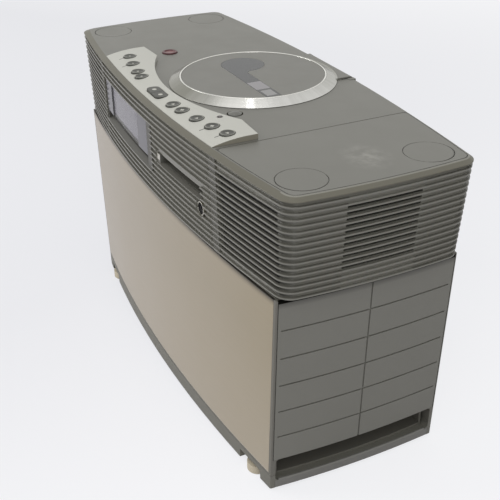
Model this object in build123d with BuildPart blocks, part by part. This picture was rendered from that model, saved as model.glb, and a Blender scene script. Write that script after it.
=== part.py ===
"""Compact one-piece stereo: a ribbed head with a top-loading disc player on a bowed cabinet.

Millimetres. X runs to the right, Y to the back, Z up. The origin lies on the table, in the
middle between the four feet.
"""
from math import cos, radians, sin, sqrt
import os

from build123d import *

os.makedirs("parts", exist_ok=True)

# Heights, from the table up
foot_rise = 3.0
cabinet_h = 183.2
head_h = 83.3
head_z = foot_rise + cabinet_h
top_z = head_z + head_h

# Clearances
seam = 0.3
fit = 0.2
running = 0.05
gap = 0.35

# Head in plan at its top, and what it loses towards its bottom
head_half_w = 230.0
head_half_d = 76.0
head_side_bow = 3.7
head_front_bow = 18.7
head_back_bow = 13.9
head_corner = 14.0
head_side_taper = 8.5
head_front_taper = 1.4

# Cabinet in plan at its top, and what it loses towards the base
side_overhang = 5.7
cab_half_w = head_half_w - head_side_taper - side_overhang
cab_half_d = 77.0
cab_side_bow = 3.6
cab_front_bow = 14.0
cab_back_bow = 10.5
cab_corner = 1.5
cab_taper = 10.9

# Ribs of the head
rib_count = 16
fin_t = 1.3
fin_depth = 2.4
rib_start = 2.0
rib_top_gap = 3.2
head_wall = 2.2
cover_edge = 2.6
ring_top = top_z - cover_edge
rib_pitch = (ring_top - rib_top_gap - fin_t - head_z - rib_start) / (rib_count - 1)
cap_x = 126.7
pillar_w = 9.7
pillar_sink = 1.2

# Vents in the middle of each end
vent_first = 3
vent_count = 11
vent_half = 30.0

# Speaker windows behind the front ribs of each end
window_margin = 1.5
window_end_x = head_half_w - 16.0
window_ribs = 1

# Top cover
rim_w = 5.5
rim_back_w = 2.5
rim_drop = 2.0
core_t = 2.2
end_panel_x = 128.2
end_panel_t = 2.0
end_panel_line = 0.6
end_panel_seam = 0.6
pad_r = 18.2
pad_x = head_half_w - 26.8
pad_y = 51.5
pad_t = 1.2
pad_gap = 0.5

# Disc player
lid_y = 9.6
lid_hole_r = 71.5
lid_r = 73.4
lid_face_r = 64.2
lid_rise = 5.3
lid_t = 2.4
trim_w = 1.4
ledge_w = 4.2
skirt_t = 2.0
skirt_h = 3.6
boss_r = 19.0
clamp_r = 16.6
retainer_r = 14.9
well_r = 68.0
well_wall = 2.0
well_floor_drop = 11.5
disc_drop = 7.5
disc_hole_r = 7.5
hub_r = 14.0
hub_bay_r = 20.0
shaft_r = 1.0
motor_r = 10.0
motor_h = 11.0
deck_drop = 19.5
deck_t = 1.5
deck_x0, deck_x1 = -54.0, 77.0
deck_half_d = 38.0
sled_travel = 30.0
sled_w = 24.0
sled_h = 7.0
lens_x = 26.0
turret_w = 15.0
turret_d = 14.0
rod_r = 1.5
rod_y = 18.0
rod_x0 = 10.5
screw_y = 25.0
ear_t = 3.0

# Lid hinge
hinge_y = 86.0
hinge_r = 4.0
hinge_drop = 2.6
tab_half = 36.0
pin_r = 1.5
cheek_w = 4.5
cheek_r = 3.0

# Control panel and its keys
panel_half = 125.0
panel_back_y = -46.0
panel_step_x = 93.0
panel_step_y = -44.5
panel_hollow_y = -68.5
panel_h = 4.1
panel_edge = 0.4
panel_crown = 30.0
key_arc_r = 472.0
key_arc_y = -79.0
key_x = (-103.7, -82.5, -59.5, -45.4, 33.2, 49.4, 72.3, 93.6, 112.6)
key_r = 6.0
key_proud = 0.6
key_travel = 0.7
square_w = 14.0
square_d = 11.0
square_pitch = 14.5
square_corner = 4.5
power_x, power_y, power_r = -108.4, -26.2, 7.2
release_x, release_y, release_r = 69.3, -39.5, 5.6
release_gap = 1.0
release_travel = 2.0
board_drop = 7.0
board_t = 1.6
switch_h = 2.9
sensor_x, sensor_y, sensor_r = 79.8, -57.1, 2.2

# Display, card slot and headphone socket in the front
display_x0, display_x1 = -123.0, 14.0
display_fins = (4, 13)
display_sink = 1.2
display_cheek_x = 4.0
display_back = 8.0
glass_rise = 9.7
glass_t = 1.5
lcd_x0, lcd_x1 = -104.0, -18.0
sill_h = 3.0
sill_sink = 5.0
slot_fins = (7, 10)
lip_x0, slot_x0, slot_x1 = 28.0, 34.0, 112.0
lip_h = 1.9
lip_edge = 0.7
slot_h = 7.5
slot_depth = 52.0
jack_x = 109.5
jack_drop = 55.1
jack_bore_r = 1.75
jack_bore_l = 16.0
jack_sink = 1.0
jack_r = 5.8
jack_dish_r = 4.8
jack_dish = 1.2
jack_hole_r = 6.3

# Base, feet, port and grooves of the cabinet
base_h = 13.4
front_panel_t = 2.0
front_edge = 3.4
insert_y = 75.0
insert_t = 2.0
insert_gap = 0.6
groove_w = 1.2
groove_d = 1.0
groove_end = 72.4
groove_first = 27.4
groove_pitch = 25.5
groove_count = 5
port_z0, port_z1 = 11.0, 33.1
port_half = 73.0
port_corner = 3.0
port_lip = 1.0
base_floor_t = 2.5
rail_h = 2.0
core_inset = 6.0
duct_wall = 2.0
baffle_t = 3.5
foot_x = cab_half_w - cab_taper - 29.6
foot_y = 73.6
foot_r = 9.0
foot_bay_x0, foot_bay_x1 = foot_x - 16.0, foot_x + 15.0
foot_bay_z = 11.5


def bowed(half_w, half_d, side_bow, front_bow, back_bow, corner):
    """A plan outline with four bowed sides and rounded corners, on the XY plane."""
    with BuildSketch() as outline:
        with BuildLine():
            ThreePointArc((-half_w, -half_d), (0, -half_d - front_bow), (half_w, -half_d))
            ThreePointArc((half_w, -half_d), (half_w + side_bow, 0), (half_w, half_d))
            ThreePointArc((half_w, half_d), (0, half_d + back_bow), (-half_w, half_d))
            ThreePointArc((-half_w, half_d), (-half_w - side_bow, 0), (-half_w, -half_d))
        make_face()
        fillet(outline.vertices(), corner)
    return outline.sketch


def head_plan(z, inset=0.0):
    """The head's outline at height z, moved inwards by inset."""
    share = (top_z - z) / head_h
    return bowed(
        head_half_w - head_side_taper * share - inset,
        head_half_d - head_front_taper * share - inset,
        head_side_bow, head_front_bow, head_back_bow, max(head_corner - inset, 1.0))


def cabinet_plan(z, inset=0.0):
    """The cabinet's outline at height z, moved inwards by inset."""
    share = (head_z - z) / cabinet_h
    return bowed(
        cab_half_w - cab_taper * share - inset, cab_half_d - inset,
        cab_side_bow, cab_front_bow, cab_back_bow, max(cab_corner - inset, 1.0))


def bow_y(x, half_w, half_d, bow):
    """How far in front of the origin a bowed front stands at x."""
    radius = (half_w ** 2 + bow ** 2) / (2 * bow)
    return half_d + bow - radius + sqrt(radius ** 2 - x ** 2)


def bowed_strip(x0, x1, half_w, half_d, bow, thick):
    """A strip along a bowed front from x0 to x1, thick towards the back, on the XY plane."""
    middle = (x0 + x1) / 2
    front = [(x, -bow_y(x, half_w, half_d, bow)) for x in (x0, middle, x1)]
    back = [(x, y + thick) for x, y in front]
    with BuildSketch() as strip:
        with BuildLine():
            ThreePointArc(*front)
            Line(front[2], back[2])
            ThreePointArc(back[2], back[1], back[0])
            Line(back[0], front[0])
        make_face()
    return strip.sketch


def fin_z(rib):
    """The height of a fin's underside, counted from the lowest."""
    return head_z + rib_start + rib * rib_pitch


def head_strip(x0, x1, z, inset, thick):
    """A strip that follows the head's front at height z."""
    share = (top_z - z) / head_h
    return bowed_strip(
        x0, x1, head_half_w - head_side_taper * share,
        head_half_d - head_front_taper * share - inset, head_front_bow, thick)


def head_front_y(x, z, inset=0.0):
    """The Y of the head's front at x and height z."""
    share = (top_z - z) / head_h
    return inset - bow_y(
        x, head_half_w - head_side_taper * share,
        head_half_d - head_front_taper * share, head_front_bow)


def top_plan(inset=0.0):
    """The flat top inside the sloping rim, moved inwards by inset."""
    with BuildSketch() as flat:
        with Locations((0, (rim_w - rim_back_w) / 2)):
            add(bowed(head_half_w - rim_w - inset,
                      head_half_d - (rim_w + rim_back_w) / 2 - inset,
                      head_side_bow, head_front_bow, head_back_bow,
                      head_corner - rim_w - inset))
    return flat.sketch


def side_strip(y0, y1, z, inset, thick):
    """A strip that follows the cabinet's right side at height z, thick towards the inside."""
    half_w = cab_half_w - cab_taper * (head_z - z) / cabinet_h - inset
    middle = (y0 + y1) / 2
    outer = [(bow_y(y, cab_half_d, half_w, cab_side_bow), y) for y in (y0, middle, y1)]
    inner = [(x - thick, y) for x, y in outer]
    with BuildSketch() as strip:
        with BuildLine():
            ThreePointArc(*outer)
            Line(outer[2], inner[2])
            ThreePointArc(inner[2], inner[1], inner[0])
            Line(inner[0], outer[0])
        make_face()
    return strip.sketch


def panel_strip(z, grow, inset, thick):
    """A strip that follows the cabinet's front at height z, as wide as the front panel."""
    half_w = cab_half_w - cab_taper * (head_z - z) / cabinet_h
    half = half_w - front_edge + grow
    return bowed_strip(-half, half, half_w, cab_half_d - inset, cab_front_bow, thick)


def turned(base, points):
    """A round piece about the plane's normal, from a profile of (radius, height) points."""
    with BuildPart() as piece:
        with BuildSketch(Plane(base.origin, x_dir=base.x_dir, z_dir=-base.y_dir)):
            with BuildLine():
                Polyline(*points, close=True)
            make_face()
        revolve(axis=Axis(base.origin, base.z_dir))
    return piece.part


def arc_mid(radius, rise):
    """The point halfway along a flat cap's arc, as (radius, height above the apex)."""
    curve_r = (radius ** 2 + rise ** 2) / (2 * rise)
    return radius / 2, curve_r - sqrt(curve_r ** 2 - radius ** 2 / 4)


def save(piece, name):
    """Label a finished piece and write its file."""
    piece.part.label = name
    export_step(piece.part, f"parts/{name}.step")


# The ribbed wall of the head, once all round, to be parted into its four mouldings
rib_gaps = [(head_z, fin_z(0))]
rib_gaps += [(fin_z(rib) + fin_t, fin_z(rib + 1)) for rib in range(rib_count - 1)]
rib_gaps += [(fin_z(rib_count - 1) + fin_t, ring_top)]
with BuildPart() as head_ring:
    for z in (head_z, ring_top):
        with BuildSketch(Plane.XY.offset(z)):
            add(head_plan(z))
    loft(ruled=True)
    for z in (head_z, ring_top):
        with BuildSketch(Plane.XY.offset(z)):
            add(head_plan(z, fin_depth + head_wall))
    loft(ruled=True, mode=Mode.SUBTRACT)
    for gap_z0, gap_z1 in rib_gaps:
        with BuildSketch(Plane.XY.offset(gap_z0)):
            Rectangle(3 * head_half_w, 4 * head_half_d)
            add(head_plan(gap_z0, fin_depth), mode=Mode.SUBTRACT)
        extrude(amount=gap_z1 - gap_z0, mode=Mode.SUBTRACT)

window_z0 = fin_z(window_ribs) + fin_t / 2
window_z1 = fin_z(rib_count - 1 - window_ribs) + fin_t / 2
window_x0 = cap_x + pillar_w + window_margin

with BuildPart() as speaker_window:
    for z in (window_z0, window_z1):
        with BuildSketch(Plane.XY.offset(z)):
            add(head_plan(z, fin_depth - 2 * fit))
    loft(ruled=True)
    with Locations(((window_x0 + window_end_x) / 2, -head_half_d, (window_z0 + window_z1) / 2)):
        Box(window_end_x - window_x0, head_half_d, window_z1 - window_z0, mode=Mode.INTERSECT)

with BuildPart() as front_pillar:
    for z in (head_z, ring_top):
        with BuildSketch(Plane.XY.offset(z)):
            add(head_strip(cap_x + seam / 2, cap_x + pillar_w, z, pillar_sink, fin_depth))
    loft(ruled=True)

vent_heights = [fin_z(rib) + (fin_t + rib_pitch) / 2
                for rib in range(vent_first, vent_first + vent_count)]

# Right and left ends: ribs round two corners, vents in the middle, a window for the speaker
with BuildPart() as end_cap_right:
    add(head_ring.part)
    with Locations((cap_x + seam / 2 + head_half_w, 0, top_z)):
        Box(2 * head_half_w, 4 * head_half_d, 4 * head_h, mode=Mode.INTERSECT)
    add(speaker_window.part, mode=Mode.SUBTRACT)
    add(front_pillar.part)
    with Locations(*[(head_half_w, 0, z) for z in vent_heights]):
        Box(4 * head_corner, 2 * vent_half, rib_pitch - fin_t - 2 * fit, mode=Mode.SUBTRACT)
save(end_cap_right, "end_cap_right")

with BuildPart() as end_cap_left:
    mirror(end_cap_right.part, about=Plane.YZ)
save(end_cap_left, "end_cap_left")

# Centre of the front: ribs with openings for the display, the card slot and the socket
display_z0 = fin_z(display_fins[0]) + fin_t
display_z1 = fin_z(display_fins[1])
lip_z0 = fin_z(slot_fins[0]) - fin_t / 2
slot_z0 = lip_z0 + lip_h
slot_z1 = slot_z0 + slot_h
slot_top_z = fin_z(slot_fins[1])
jack_z = top_z - jack_drop
jack_front_y = head_front_y(jack_x, jack_z)
cap_width = 2 * cap_x - seam

with BuildPart() as slot_break:
    for z in (slot_z1, slot_top_z):
        with BuildSketch(Plane.XY.offset(z)):
            add(head_strip(lip_x0, slot_x1, z, -fin_depth, 2 * fin_depth + fit))
    loft(ruled=True)

with BuildPart() as front_fascia:
    add(head_ring.part)
    with Locations((0, -head_half_d, top_z)):
        Box(cap_width, 2 * head_half_d - 2 * fit, 4 * head_h, mode=Mode.INTERSECT)
    with Locations(((display_x0 + display_x1) / 2, -head_half_d, (display_z0 + display_z1) / 2)):
        Box(display_x1 - display_x0, head_half_d, display_z1 - display_z0, mode=Mode.SUBTRACT)
    with Locations(((lip_x0 + slot_x1) / 2, -head_half_d, (lip_z0 + slot_z1) / 2)):
        Box(slot_x1 - lip_x0, head_half_d, slot_z1 - lip_z0, mode=Mode.SUBTRACT)
    add(slot_break.part, mode=Mode.SUBTRACT)
    with BuildSketch(Plane.XZ):
        with Locations((jack_x, jack_z)):
            Circle(jack_r + fit)
    extrude(amount=2 * head_half_d, mode=Mode.SUBTRACT)
    with BuildSketch(Plane.XZ.offset(-jack_front_y - fin_depth)):
        with Locations((jack_x, jack_z)):
            Circle(jack_hole_r)
    extrude(amount=head_half_d, mode=Mode.SUBTRACT)
save(front_fascia, "front_fascia")

# Frame of the display: sloping sill, carrier behind, rail under the glass, and two cheeks
glass_z0 = display_z0 + glass_rise
glass_back = display_sink + glass_t + fit
carrier_t = 1.5
rail_t = 1.8
frame_x0 = display_x0 + fit
frame_x1 = display_x1 - fit
cheek_x0 = frame_x0 + carrier_t
with BuildPart() as display_frame:
    for z, sink in ((display_z0 + fit, fit), (display_z0 + sill_h, sill_sink)):
        with BuildSketch(Plane.XY.offset(z)):
            add(head_strip(frame_x0, frame_x1, z, sink, display_back - sink))
    loft(ruled=True)
    with BuildSketch(Plane.XY.offset(display_z0 + fit)):
        add(head_strip(frame_x0, frame_x1, display_z0, display_back - carrier_t, carrier_t))
        for x0, x1 in ((frame_x0, cheek_x0), (display_cheek_x, frame_x1)):
            add(head_strip(x0, x1, display_z0, display_sink, display_back - display_sink))
    extrude(amount=display_z1 - display_z0 - 2 * fit)
    with BuildSketch(Plane.XY.offset(glass_z0)):
        add(head_strip(frame_x0, frame_x1, display_z0, glass_back, display_back - glass_back))
    extrude(amount=rail_t)
save(display_frame, "display_frame")

with BuildPart() as display_window:
    with BuildSketch(Plane.XY.offset(glass_z0 + fit)):
        add(head_strip(cheek_x0 + fit, display_cheek_x - fit, display_z0, display_sink, glass_t))
    extrude(amount=display_z1 - glass_z0 - 2 * fit)
save(display_window, "display_window")

with BuildPart() as display_module:
    with BuildSketch(Plane.XY.offset(glass_z0 + rail_t + fit)):
        add(head_strip(lcd_x0, lcd_x1, display_z0, glass_back, display_back - carrier_t - glass_back))
    extrude(amount=display_z1 - glass_z0 - 2 * (rail_t + fit))
save(display_module, "display_module")

# Card slot: a sill in line with a fin, sloping inwards, with a cheek at its left end
lip_back = fin_depth + head_wall
with BuildPart() as slot_lip:
    with BuildSketch(Plane.XY.offset(lip_z0 + fit)):
        add(head_strip(lip_x0 + fit, slot_x1 - fit, lip_z0, fit, lip_back - fit))
    extrude(amount=lip_edge)
    for z, sink in ((lip_z0 + fit + lip_edge, fit), (slot_z0 - fit, lip_back - seam)):
        with BuildSketch(Plane.XY.offset(z)):
            add(head_strip(lip_x0 + fit, slot_x1 - fit, lip_z0, sink, lip_back - sink))
    loft(ruled=True)
    with BuildSketch(Plane.XY.offset(lip_z0 + fit)):
        add(head_strip(lip_x0 + fit, slot_x0, lip_z0, fin_depth / 2, lip_back - fin_depth / 2))
    extrude(amount=slot_z1 - lip_z0 - 2 * fit)
save(slot_lip, "slot_lip")

pocket_wall = 1.5
pocket_y1 = slot_depth + head_front_y(slot_x0, slot_z0)
with BuildPart() as card_pocket:
    with BuildSketch(Plane.XY.offset(slot_z0 - pocket_wall)):
        add(head_plan(slot_z0, fin_depth + head_wall + fit))
    extrude(amount=slot_h + 2 * pocket_wall)
    with Locations(((slot_x0 + slot_x1) / 2, pocket_y1 - head_half_d, slot_z0 + slot_h / 2)):
        Box(slot_x1 - slot_x0 + 2 * pocket_wall, 2 * head_half_d, 2 * slot_h, mode=Mode.INTERSECT)
        with Locations((0, -pocket_wall, 0)):
            Box(slot_x1 - slot_x0 - seam, 2 * head_half_d, slot_h, mode=Mode.SUBTRACT)
save(card_pocket, "card_pocket")

# Headphone socket: a dished round face in the ribs, and its body behind the wall
jack_face = Plane.XZ.offset(-jack_front_y - jack_sink)
jack_neck = 8.0
jack_body = 2 * jack_r + 2.0
with BuildPart() as headphone_socket:
    with BuildSketch(jack_face):
        with Locations((jack_x, jack_z)):
            Circle(jack_r)
    extrude(amount=-jack_neck)
    with BuildSketch(jack_face.offset(-jack_neck)):
        with Locations((jack_x, jack_z)):
            Rectangle(jack_body, jack_body)
    extrude(amount=-jack_body)
    with BuildSketch(jack_face):
        with Locations((jack_x, jack_z)):
            Circle(jack_dish_r)
    extrude(amount=-jack_dish, mode=Mode.SUBTRACT)
    with BuildSketch(jack_face.offset(-jack_dish)):
        with Locations((jack_x, jack_z)):
            Circle(jack_bore_r)
    extrude(amount=-jack_bore_l, mode=Mode.SUBTRACT)
save(headphone_socket, "headphone_socket")

# Centre of the back, with a notch for the lid's hinge
hinge_z = top_z - hinge_drop
notch_half = tab_half + 2 * gap
cheek_half = notch_half + cheek_w
with BuildPart() as rear_fascia:
    add(head_ring.part)
    with Locations((0, head_half_d, top_z)):
        Box(cap_width, 2 * head_half_d - 2 * fit, 4 * head_h, mode=Mode.INTERSECT)
    with Locations((0, hinge_y, hinge_z)):
        Box(2 * cheek_half + 2 * seam, 6 * hinge_r, 2 * hinge_r + 2 * gap, mode=Mode.SUBTRACT)
save(rear_fascia, "rear_fascia")

# Top cover: flat top, sloping rim, and a core that drops inside the ribbed wall
core_z = ring_top - core_t
front_half_w = head_half_w - rim_w
front_half_d = head_half_d - rim_w
front_r = (front_half_w ** 2 + head_front_bow ** 2) / (2 * head_front_bow)
front_axis_y = front_r - front_half_d - head_front_bow
key_gap = seam


def key_spot(x):
    """The place of a key along the row."""
    return (x, key_arc_y + key_arc_r - sqrt(key_arc_r ** 2 - x ** 2))


key_spots = [key_spot(x) for x in key_x]
square_spots = [(side * square_pitch / 2, key_arc_y) for side in (-1, 1)]
square_pair_w = square_pitch + square_w


def square_bay():
    """The opening for the two square keys, on the XY plane."""
    with BuildSketch() as bay:
        with Locations((0, key_arc_y)):
            RectangleRounded(square_pair_w + 2 * key_gap, square_d + 2 * key_gap,
                             square_corner + key_gap)
    return bay.sketch


# The release button lies on a ray from the lid's centre, and so do its slider and its catch
release_ray = (release_x, release_y - lid_y)
release_reach = sqrt(release_ray[0] ** 2 + release_ray[1] ** 2)
release_plane = Plane(
    (0, lid_y, 0), x_dir=(release_ray[0] / release_reach, release_ray[1] / release_reach, 0))
release_side = Plane(
    release_plane.origin, x_dir=release_plane.x_dir, z_dir=-release_plane.y_dir)
catch_half = 4.0
catch_bay = catch_half + 2.0
catch_r = lid_hole_r - 0.9
catch_t = 1.3
catch_nose = 0.6
catch_end = lid_hole_r + 1.6
slider_z = core_z - 7.0
slider_t = 3.0
slider_half = catch_bay - gap
slider_tip = catch_end - 0.1
slider_l = 20.5

with BuildPart() as top_cover:
    with BuildSketch(Plane.XY.offset(ring_top)):
        add(head_plan(top_z))
    extrude(amount=cover_edge - rim_drop)
    with BuildSketch(Plane.XY.offset(top_z - rim_drop)):
        add(head_plan(top_z))
    with BuildSketch(Plane.XY.offset(top_z)):
        add(top_plan())
    loft(ruled=True)
    with BuildSketch(Plane.XY.offset(core_z)):
        add(head_plan(ring_top, fin_depth + head_wall + seam))
    extrude(amount=core_t)
    for side in (-1, 1):
        with Locations((side * (notch_half + cheek_w / 2), hinge_y, ring_top)):
            Box(cheek_w, 2 * cheek_r, 2 * cheek_r)
    with BuildSketch(Plane.XY.offset(top_z)):
        with Locations((0, lid_y)):
            Circle(lid_hole_r)
        with Locations((0, hinge_y)):
            Rectangle(2 * notch_half, 4 * (hinge_r + gap))
        with Locations(*key_spots):
            Circle(key_r + key_gap)
        add(square_bay())
        with Locations((power_x, power_y)):
            Circle(power_r + key_gap)
        with Locations((release_x, release_y)):
            Circle(release_r + release_gap)
        with Locations((sensor_x, sensor_y)):
            Circle(sensor_r + fit)
    extrude(amount=-2 * (cover_edge + core_t), mode=Mode.SUBTRACT)
    with BuildSketch(release_plane.offset(top_z)):
        with Locations((catch_end - catch_bay, 0)):
            Rectangle(2 * catch_bay, 2 * catch_bay)
    extrude(amount=-2 * (cover_edge + core_t), mode=Mode.SUBTRACT)
    with BuildSketch(Plane.XY.offset(top_z)):
        add(top_plan(end_panel_line))
        with Locations((end_panel_x - head_half_w, 0)):
            Rectangle(2 * head_half_w, 4 * head_half_d, mode=Mode.SUBTRACT)
    extrude(amount=-end_panel_t, mode=Mode.SUBTRACT)
    with BuildSketch(Plane.XY.offset(top_z)):
        with Locations((-pad_x, -pad_y), (-pad_x, pad_y)):
            Circle(pad_r + pad_gap)
    extrude(amount=-pad_t, mode=Mode.SUBTRACT)
    with Locations((0, hinge_y, hinge_z)):
        Cylinder(pin_r + running, 2 * cheek_half, rotation=(0, 90, 0), mode=Mode.SUBTRACT)
save(top_cover, "top_cover")

# Panel let into the right end of the top, and the four round pads flush with the top
with BuildPart() as top_end_panel:
    with BuildSketch(Plane.XY.offset(top_z - end_panel_t)):
        add(top_plan(end_panel_line + gap))
        with Locations((end_panel_x + end_panel_seam - head_half_w, 0)):
            Rectangle(2 * head_half_w, 4 * head_half_d, mode=Mode.SUBTRACT)
    extrude(amount=end_panel_t)
    with BuildSketch(Plane.XY.offset(top_z)):
        with Locations((pad_x, -pad_y), (pad_x, pad_y)):
            Circle(pad_r + pad_gap)
    extrude(amount=-pad_t, mode=Mode.SUBTRACT)
save(top_end_panel, "top_end_panel")

with BuildPart() as corner_pads:
    with BuildSketch(Plane.XY.offset(top_z - pad_t)):
        with GridLocations(2 * pad_x, 2 * pad_y, 2, 2):
            Circle(pad_r)
    extrude(amount=pad_t)
save(corner_pads, "corner_pads")

# Control panel: a crowned wedge whose front edge follows the rim
crown_drop = panel_h - panel_edge
crown_r = (panel_crown ** 2 + crown_drop ** 2) / (2 * crown_drop)


def panel_top(x, y):
    """The height of the panel's face above the table at (x, y)."""
    depth = front_r - sqrt(x ** 2 + (front_axis_y - y) ** 2)
    back = max(panel_crown - depth, 0)
    return top_z + panel_h - crown_r + sqrt(crown_r ** 2 - back ** 2)


panel_arc = 14.0
half_arc = radians(panel_arc / 2)
panel_profile = Plane(
    (0, front_axis_y, top_z), x_dir=(-sin(half_arc), -cos(half_arc), 0),
    z_dir=(-cos(half_arc), sin(half_arc), 0))
panel_end_y = -bow_y(panel_half, front_half_w, front_half_d, head_front_bow)

with BuildPart() as control_panel:
    with BuildSketch(panel_profile):
        with BuildLine():
            mid = sin(0.5 * (panel_crown / crown_r))
            ThreePointArc((front_r, panel_edge),
                          (front_r - panel_crown + crown_r * mid,
                           panel_h - crown_r + crown_r * sqrt(1 - mid ** 2)),
                          (front_r - panel_crown, panel_h))
            Polyline((front_r - panel_crown, panel_h), (front_r - 2 * panel_crown, panel_h),
                     (front_r - 2 * panel_crown, 0), (front_r, 0), (front_r, panel_edge))
        make_face()
    revolve(axis=Axis((0, front_axis_y, 0), (0, 0, 1)), revolution_arc=panel_arc)
    with BuildSketch(Plane.XY.offset(top_z)):
        with BuildLine():
            ThreePointArc((-panel_half, panel_end_y), (0, -front_half_d - head_front_bow),
                          (panel_half, panel_end_y))
            Polyline((panel_half, panel_end_y), (panel_half, panel_back_y),
                     (panel_step_x, panel_step_y))
            ThreePointArc((panel_step_x, panel_step_y), (0, panel_hollow_y),
                          (-panel_step_x, panel_step_y))
            Polyline((-panel_step_x, panel_step_y), (-panel_half, panel_back_y),
                     (-panel_half, panel_end_y))
        make_face()
        with Locations(*key_spots):
            Circle(key_r + key_gap, mode=Mode.SUBTRACT)
        add(square_bay(), mode=Mode.SUBTRACT)
        with Locations((sensor_x, sensor_y)):
            Circle(sensor_r + fit, mode=Mode.SUBTRACT)
    extrude(amount=2 * panel_h, mode=Mode.INTERSECT)
save(control_panel, "control_panel")

# Round keys: a dished cap, a collar under the cover that holds it in, and a stem
board_z = core_z - board_drop
stem_z = board_z + switch_h + key_travel + fit
collar_z1 = core_z - fit
collar_z0 = collar_z1 - 1.0
key_stem_r = 2.2
key_collar = 0.7
key_collar_r = key_r + key_collar
key_dish = 0.5
key_edge = 0.5

for number, (x, y) in enumerate(key_spots, 1):
    key_z = panel_top(x, y) + key_proud
    with BuildPart() as key:
        add(turned(Plane((x, y, 0)), [
            (0, key_z - key_dish), (0, stem_z), (key_stem_r, stem_z),
            (key_stem_r, collar_z0), (key_collar_r, collar_z0), (key_collar_r, collar_z1),
            (key_r, collar_z1), (key_r, key_z - key_edge), (key_r - key_edge, key_z),
            (key_r - 2 * key_edge, key_z), (key_r / 2, key_z - 0.7 * key_dish)]))
    save(key, f"key_{number}")

# The two square keys side by side in the middle
for name, (x, y) in zip(("square_key_left", "square_key_right"), square_spots):
    key_z = panel_top(x, y) + key_proud
    with BuildPart() as key:
        with BuildSketch(Plane.XY.offset(collar_z0)):
            with Locations((x, y)):
                Rectangle(square_w, square_d + 2 * key_collar)
        extrude(amount=collar_z1 - collar_z0)
        with BuildSketch(Plane.XY.offset(collar_z1)):
            with Locations((0, y)):
                RectangleRounded(square_pair_w, square_d, square_corner)
            with Locations((x, y)):
                Rectangle(square_w, square_d, mode=Mode.INTERSECT)
        extrude(amount=key_z - collar_z1)
        with BuildSketch(Plane.XY.offset(stem_z)):
            with Locations((x, y)):
                Circle(key_stem_r)
        extrude(amount=collar_z0 - stem_z)
    save(key, name)

# Power button, round and dished, over its own switch
power_z = top_z + 1.2
with BuildPart() as power_button:
    add(turned(Plane((power_x, power_y, 0)), [
        (0, power_z - 1.0), (0, stem_z), (key_stem_r, stem_z), (key_stem_r, collar_z0),
        (power_r + key_collar, collar_z0), (power_r + key_collar, collar_z1), (power_r, collar_z1),
        (power_r, power_z - key_edge), (power_r - key_edge, power_z), (power_r - 1.9, power_z),
        (power_r - 2.7, power_z - 1.0)]))
save(power_button, "power_button")

# Key board with its switches, hung from the cover
board_half = 8.0
switch_w = 6.0
with BuildPart() as key_board:
    with BuildSketch(Plane.XY.offset(board_z)):
        with BuildLine():
            ends = [key_spot(side * (panel_half - 3.0)) for side in (-1, 0, 1)]
            front = [(x, y - board_half) for x, y in ends]
            back = [(x, y + board_half) for x, y in ends]
            ThreePointArc(*front)
            Line(front[2], back[2])
            ThreePointArc(back[2], back[1], back[0])
            Line(back[0], front[0])
        make_face()
        with Locations((power_x, (power_y + key_arc_y) / 2 + 3.0)):
            Rectangle(2 * board_half, power_y - key_arc_y + 6.0)
    extrude(amount=-board_t)
    with BuildSketch(Plane.XY.offset(board_z)):
        with Locations(*key_spots, *square_spots, (power_x, power_y)):
            Rectangle(switch_w, switch_w)
    extrude(amount=switch_h - 0.6)
    with BuildSketch(Plane.XY.offset(board_z + switch_h - 0.6)):
        with Locations(*key_spots, *square_spots, (power_x, power_y)):
            Circle(1.7)
    extrude(amount=0.6)
save(key_board, "key_board")

# Lens of the remote sensor, in the panel and on the board below
sensor_z = panel_top(sensor_x, sensor_y) + fit
with BuildPart() as sensor_lens:
    with BuildSketch(Plane.XY.offset(core_z - board_drop / 2)):
        with Locations((sensor_x, sensor_y)):
            Circle(sensor_r)
    extrude(amount=sensor_z - core_z + board_drop / 2)
save(sensor_lens, "sensor_lens")

# Release button: a low dome over the slider
release_z = top_z + 2.0
release_edge_z = release_z - 1.7
release_collar_r = release_r + release_gap + key_collar
release_stem_z = slider_z + slider_t + gap
release_collar_z = core_z - fit
mid_r, mid_drop = arc_mid(release_r, release_z - release_edge_z)
with BuildPart() as release_button:
    with BuildSketch(Plane((release_x, release_y, 0), x_dir=(1, 0, 0), z_dir=(0, -1, 0))):
        with BuildLine():
            ThreePointArc((0, release_z), (mid_r, release_z - mid_drop), (release_r, release_edge_z))
            Polyline((release_r, release_edge_z), (release_r, release_collar_z),
                     (release_collar_r, release_collar_z),
                     (release_collar_r, release_collar_z - 1.0),
                     (key_stem_r, release_collar_z - 1.0), (key_stem_r, release_stem_z),
                     (0, release_stem_z), (0, release_z))
        make_face()
    revolve(axis=Axis((release_x, release_y, 0), (0, 0, 1)))
save(release_button, "release_button")

# Slider that the button pushes outwards, with a sloped window round the button's stem
window_in = release_reach - key_stem_r - release_travel - gap
window_out = release_reach + key_stem_r + gap
with BuildPart() as latch_slider:
    with BuildSketch(release_plane.offset(slider_z)):
        with Locations((slider_tip + slider_l / 2, 0)):
            Rectangle(slider_l, 2 * slider_half)
        with Locations(((window_in + window_out) / 2, 0)):
            Rectangle(window_out - window_in, 2 * (key_stem_r + gap), mode=Mode.SUBTRACT)
    extrude(amount=slider_t)
    with BuildSketch(release_side):
        with BuildLine():
            Polyline((window_out - fit, slider_z), (window_out - fit, slider_z + slider_t),
                     (window_out + release_travel, slider_z + slider_t), close=True)
        make_face()
    extrude(amount=key_stem_r + gap, both=True, mode=Mode.SUBTRACT)
save(latch_slider, "latch_slider")

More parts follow.
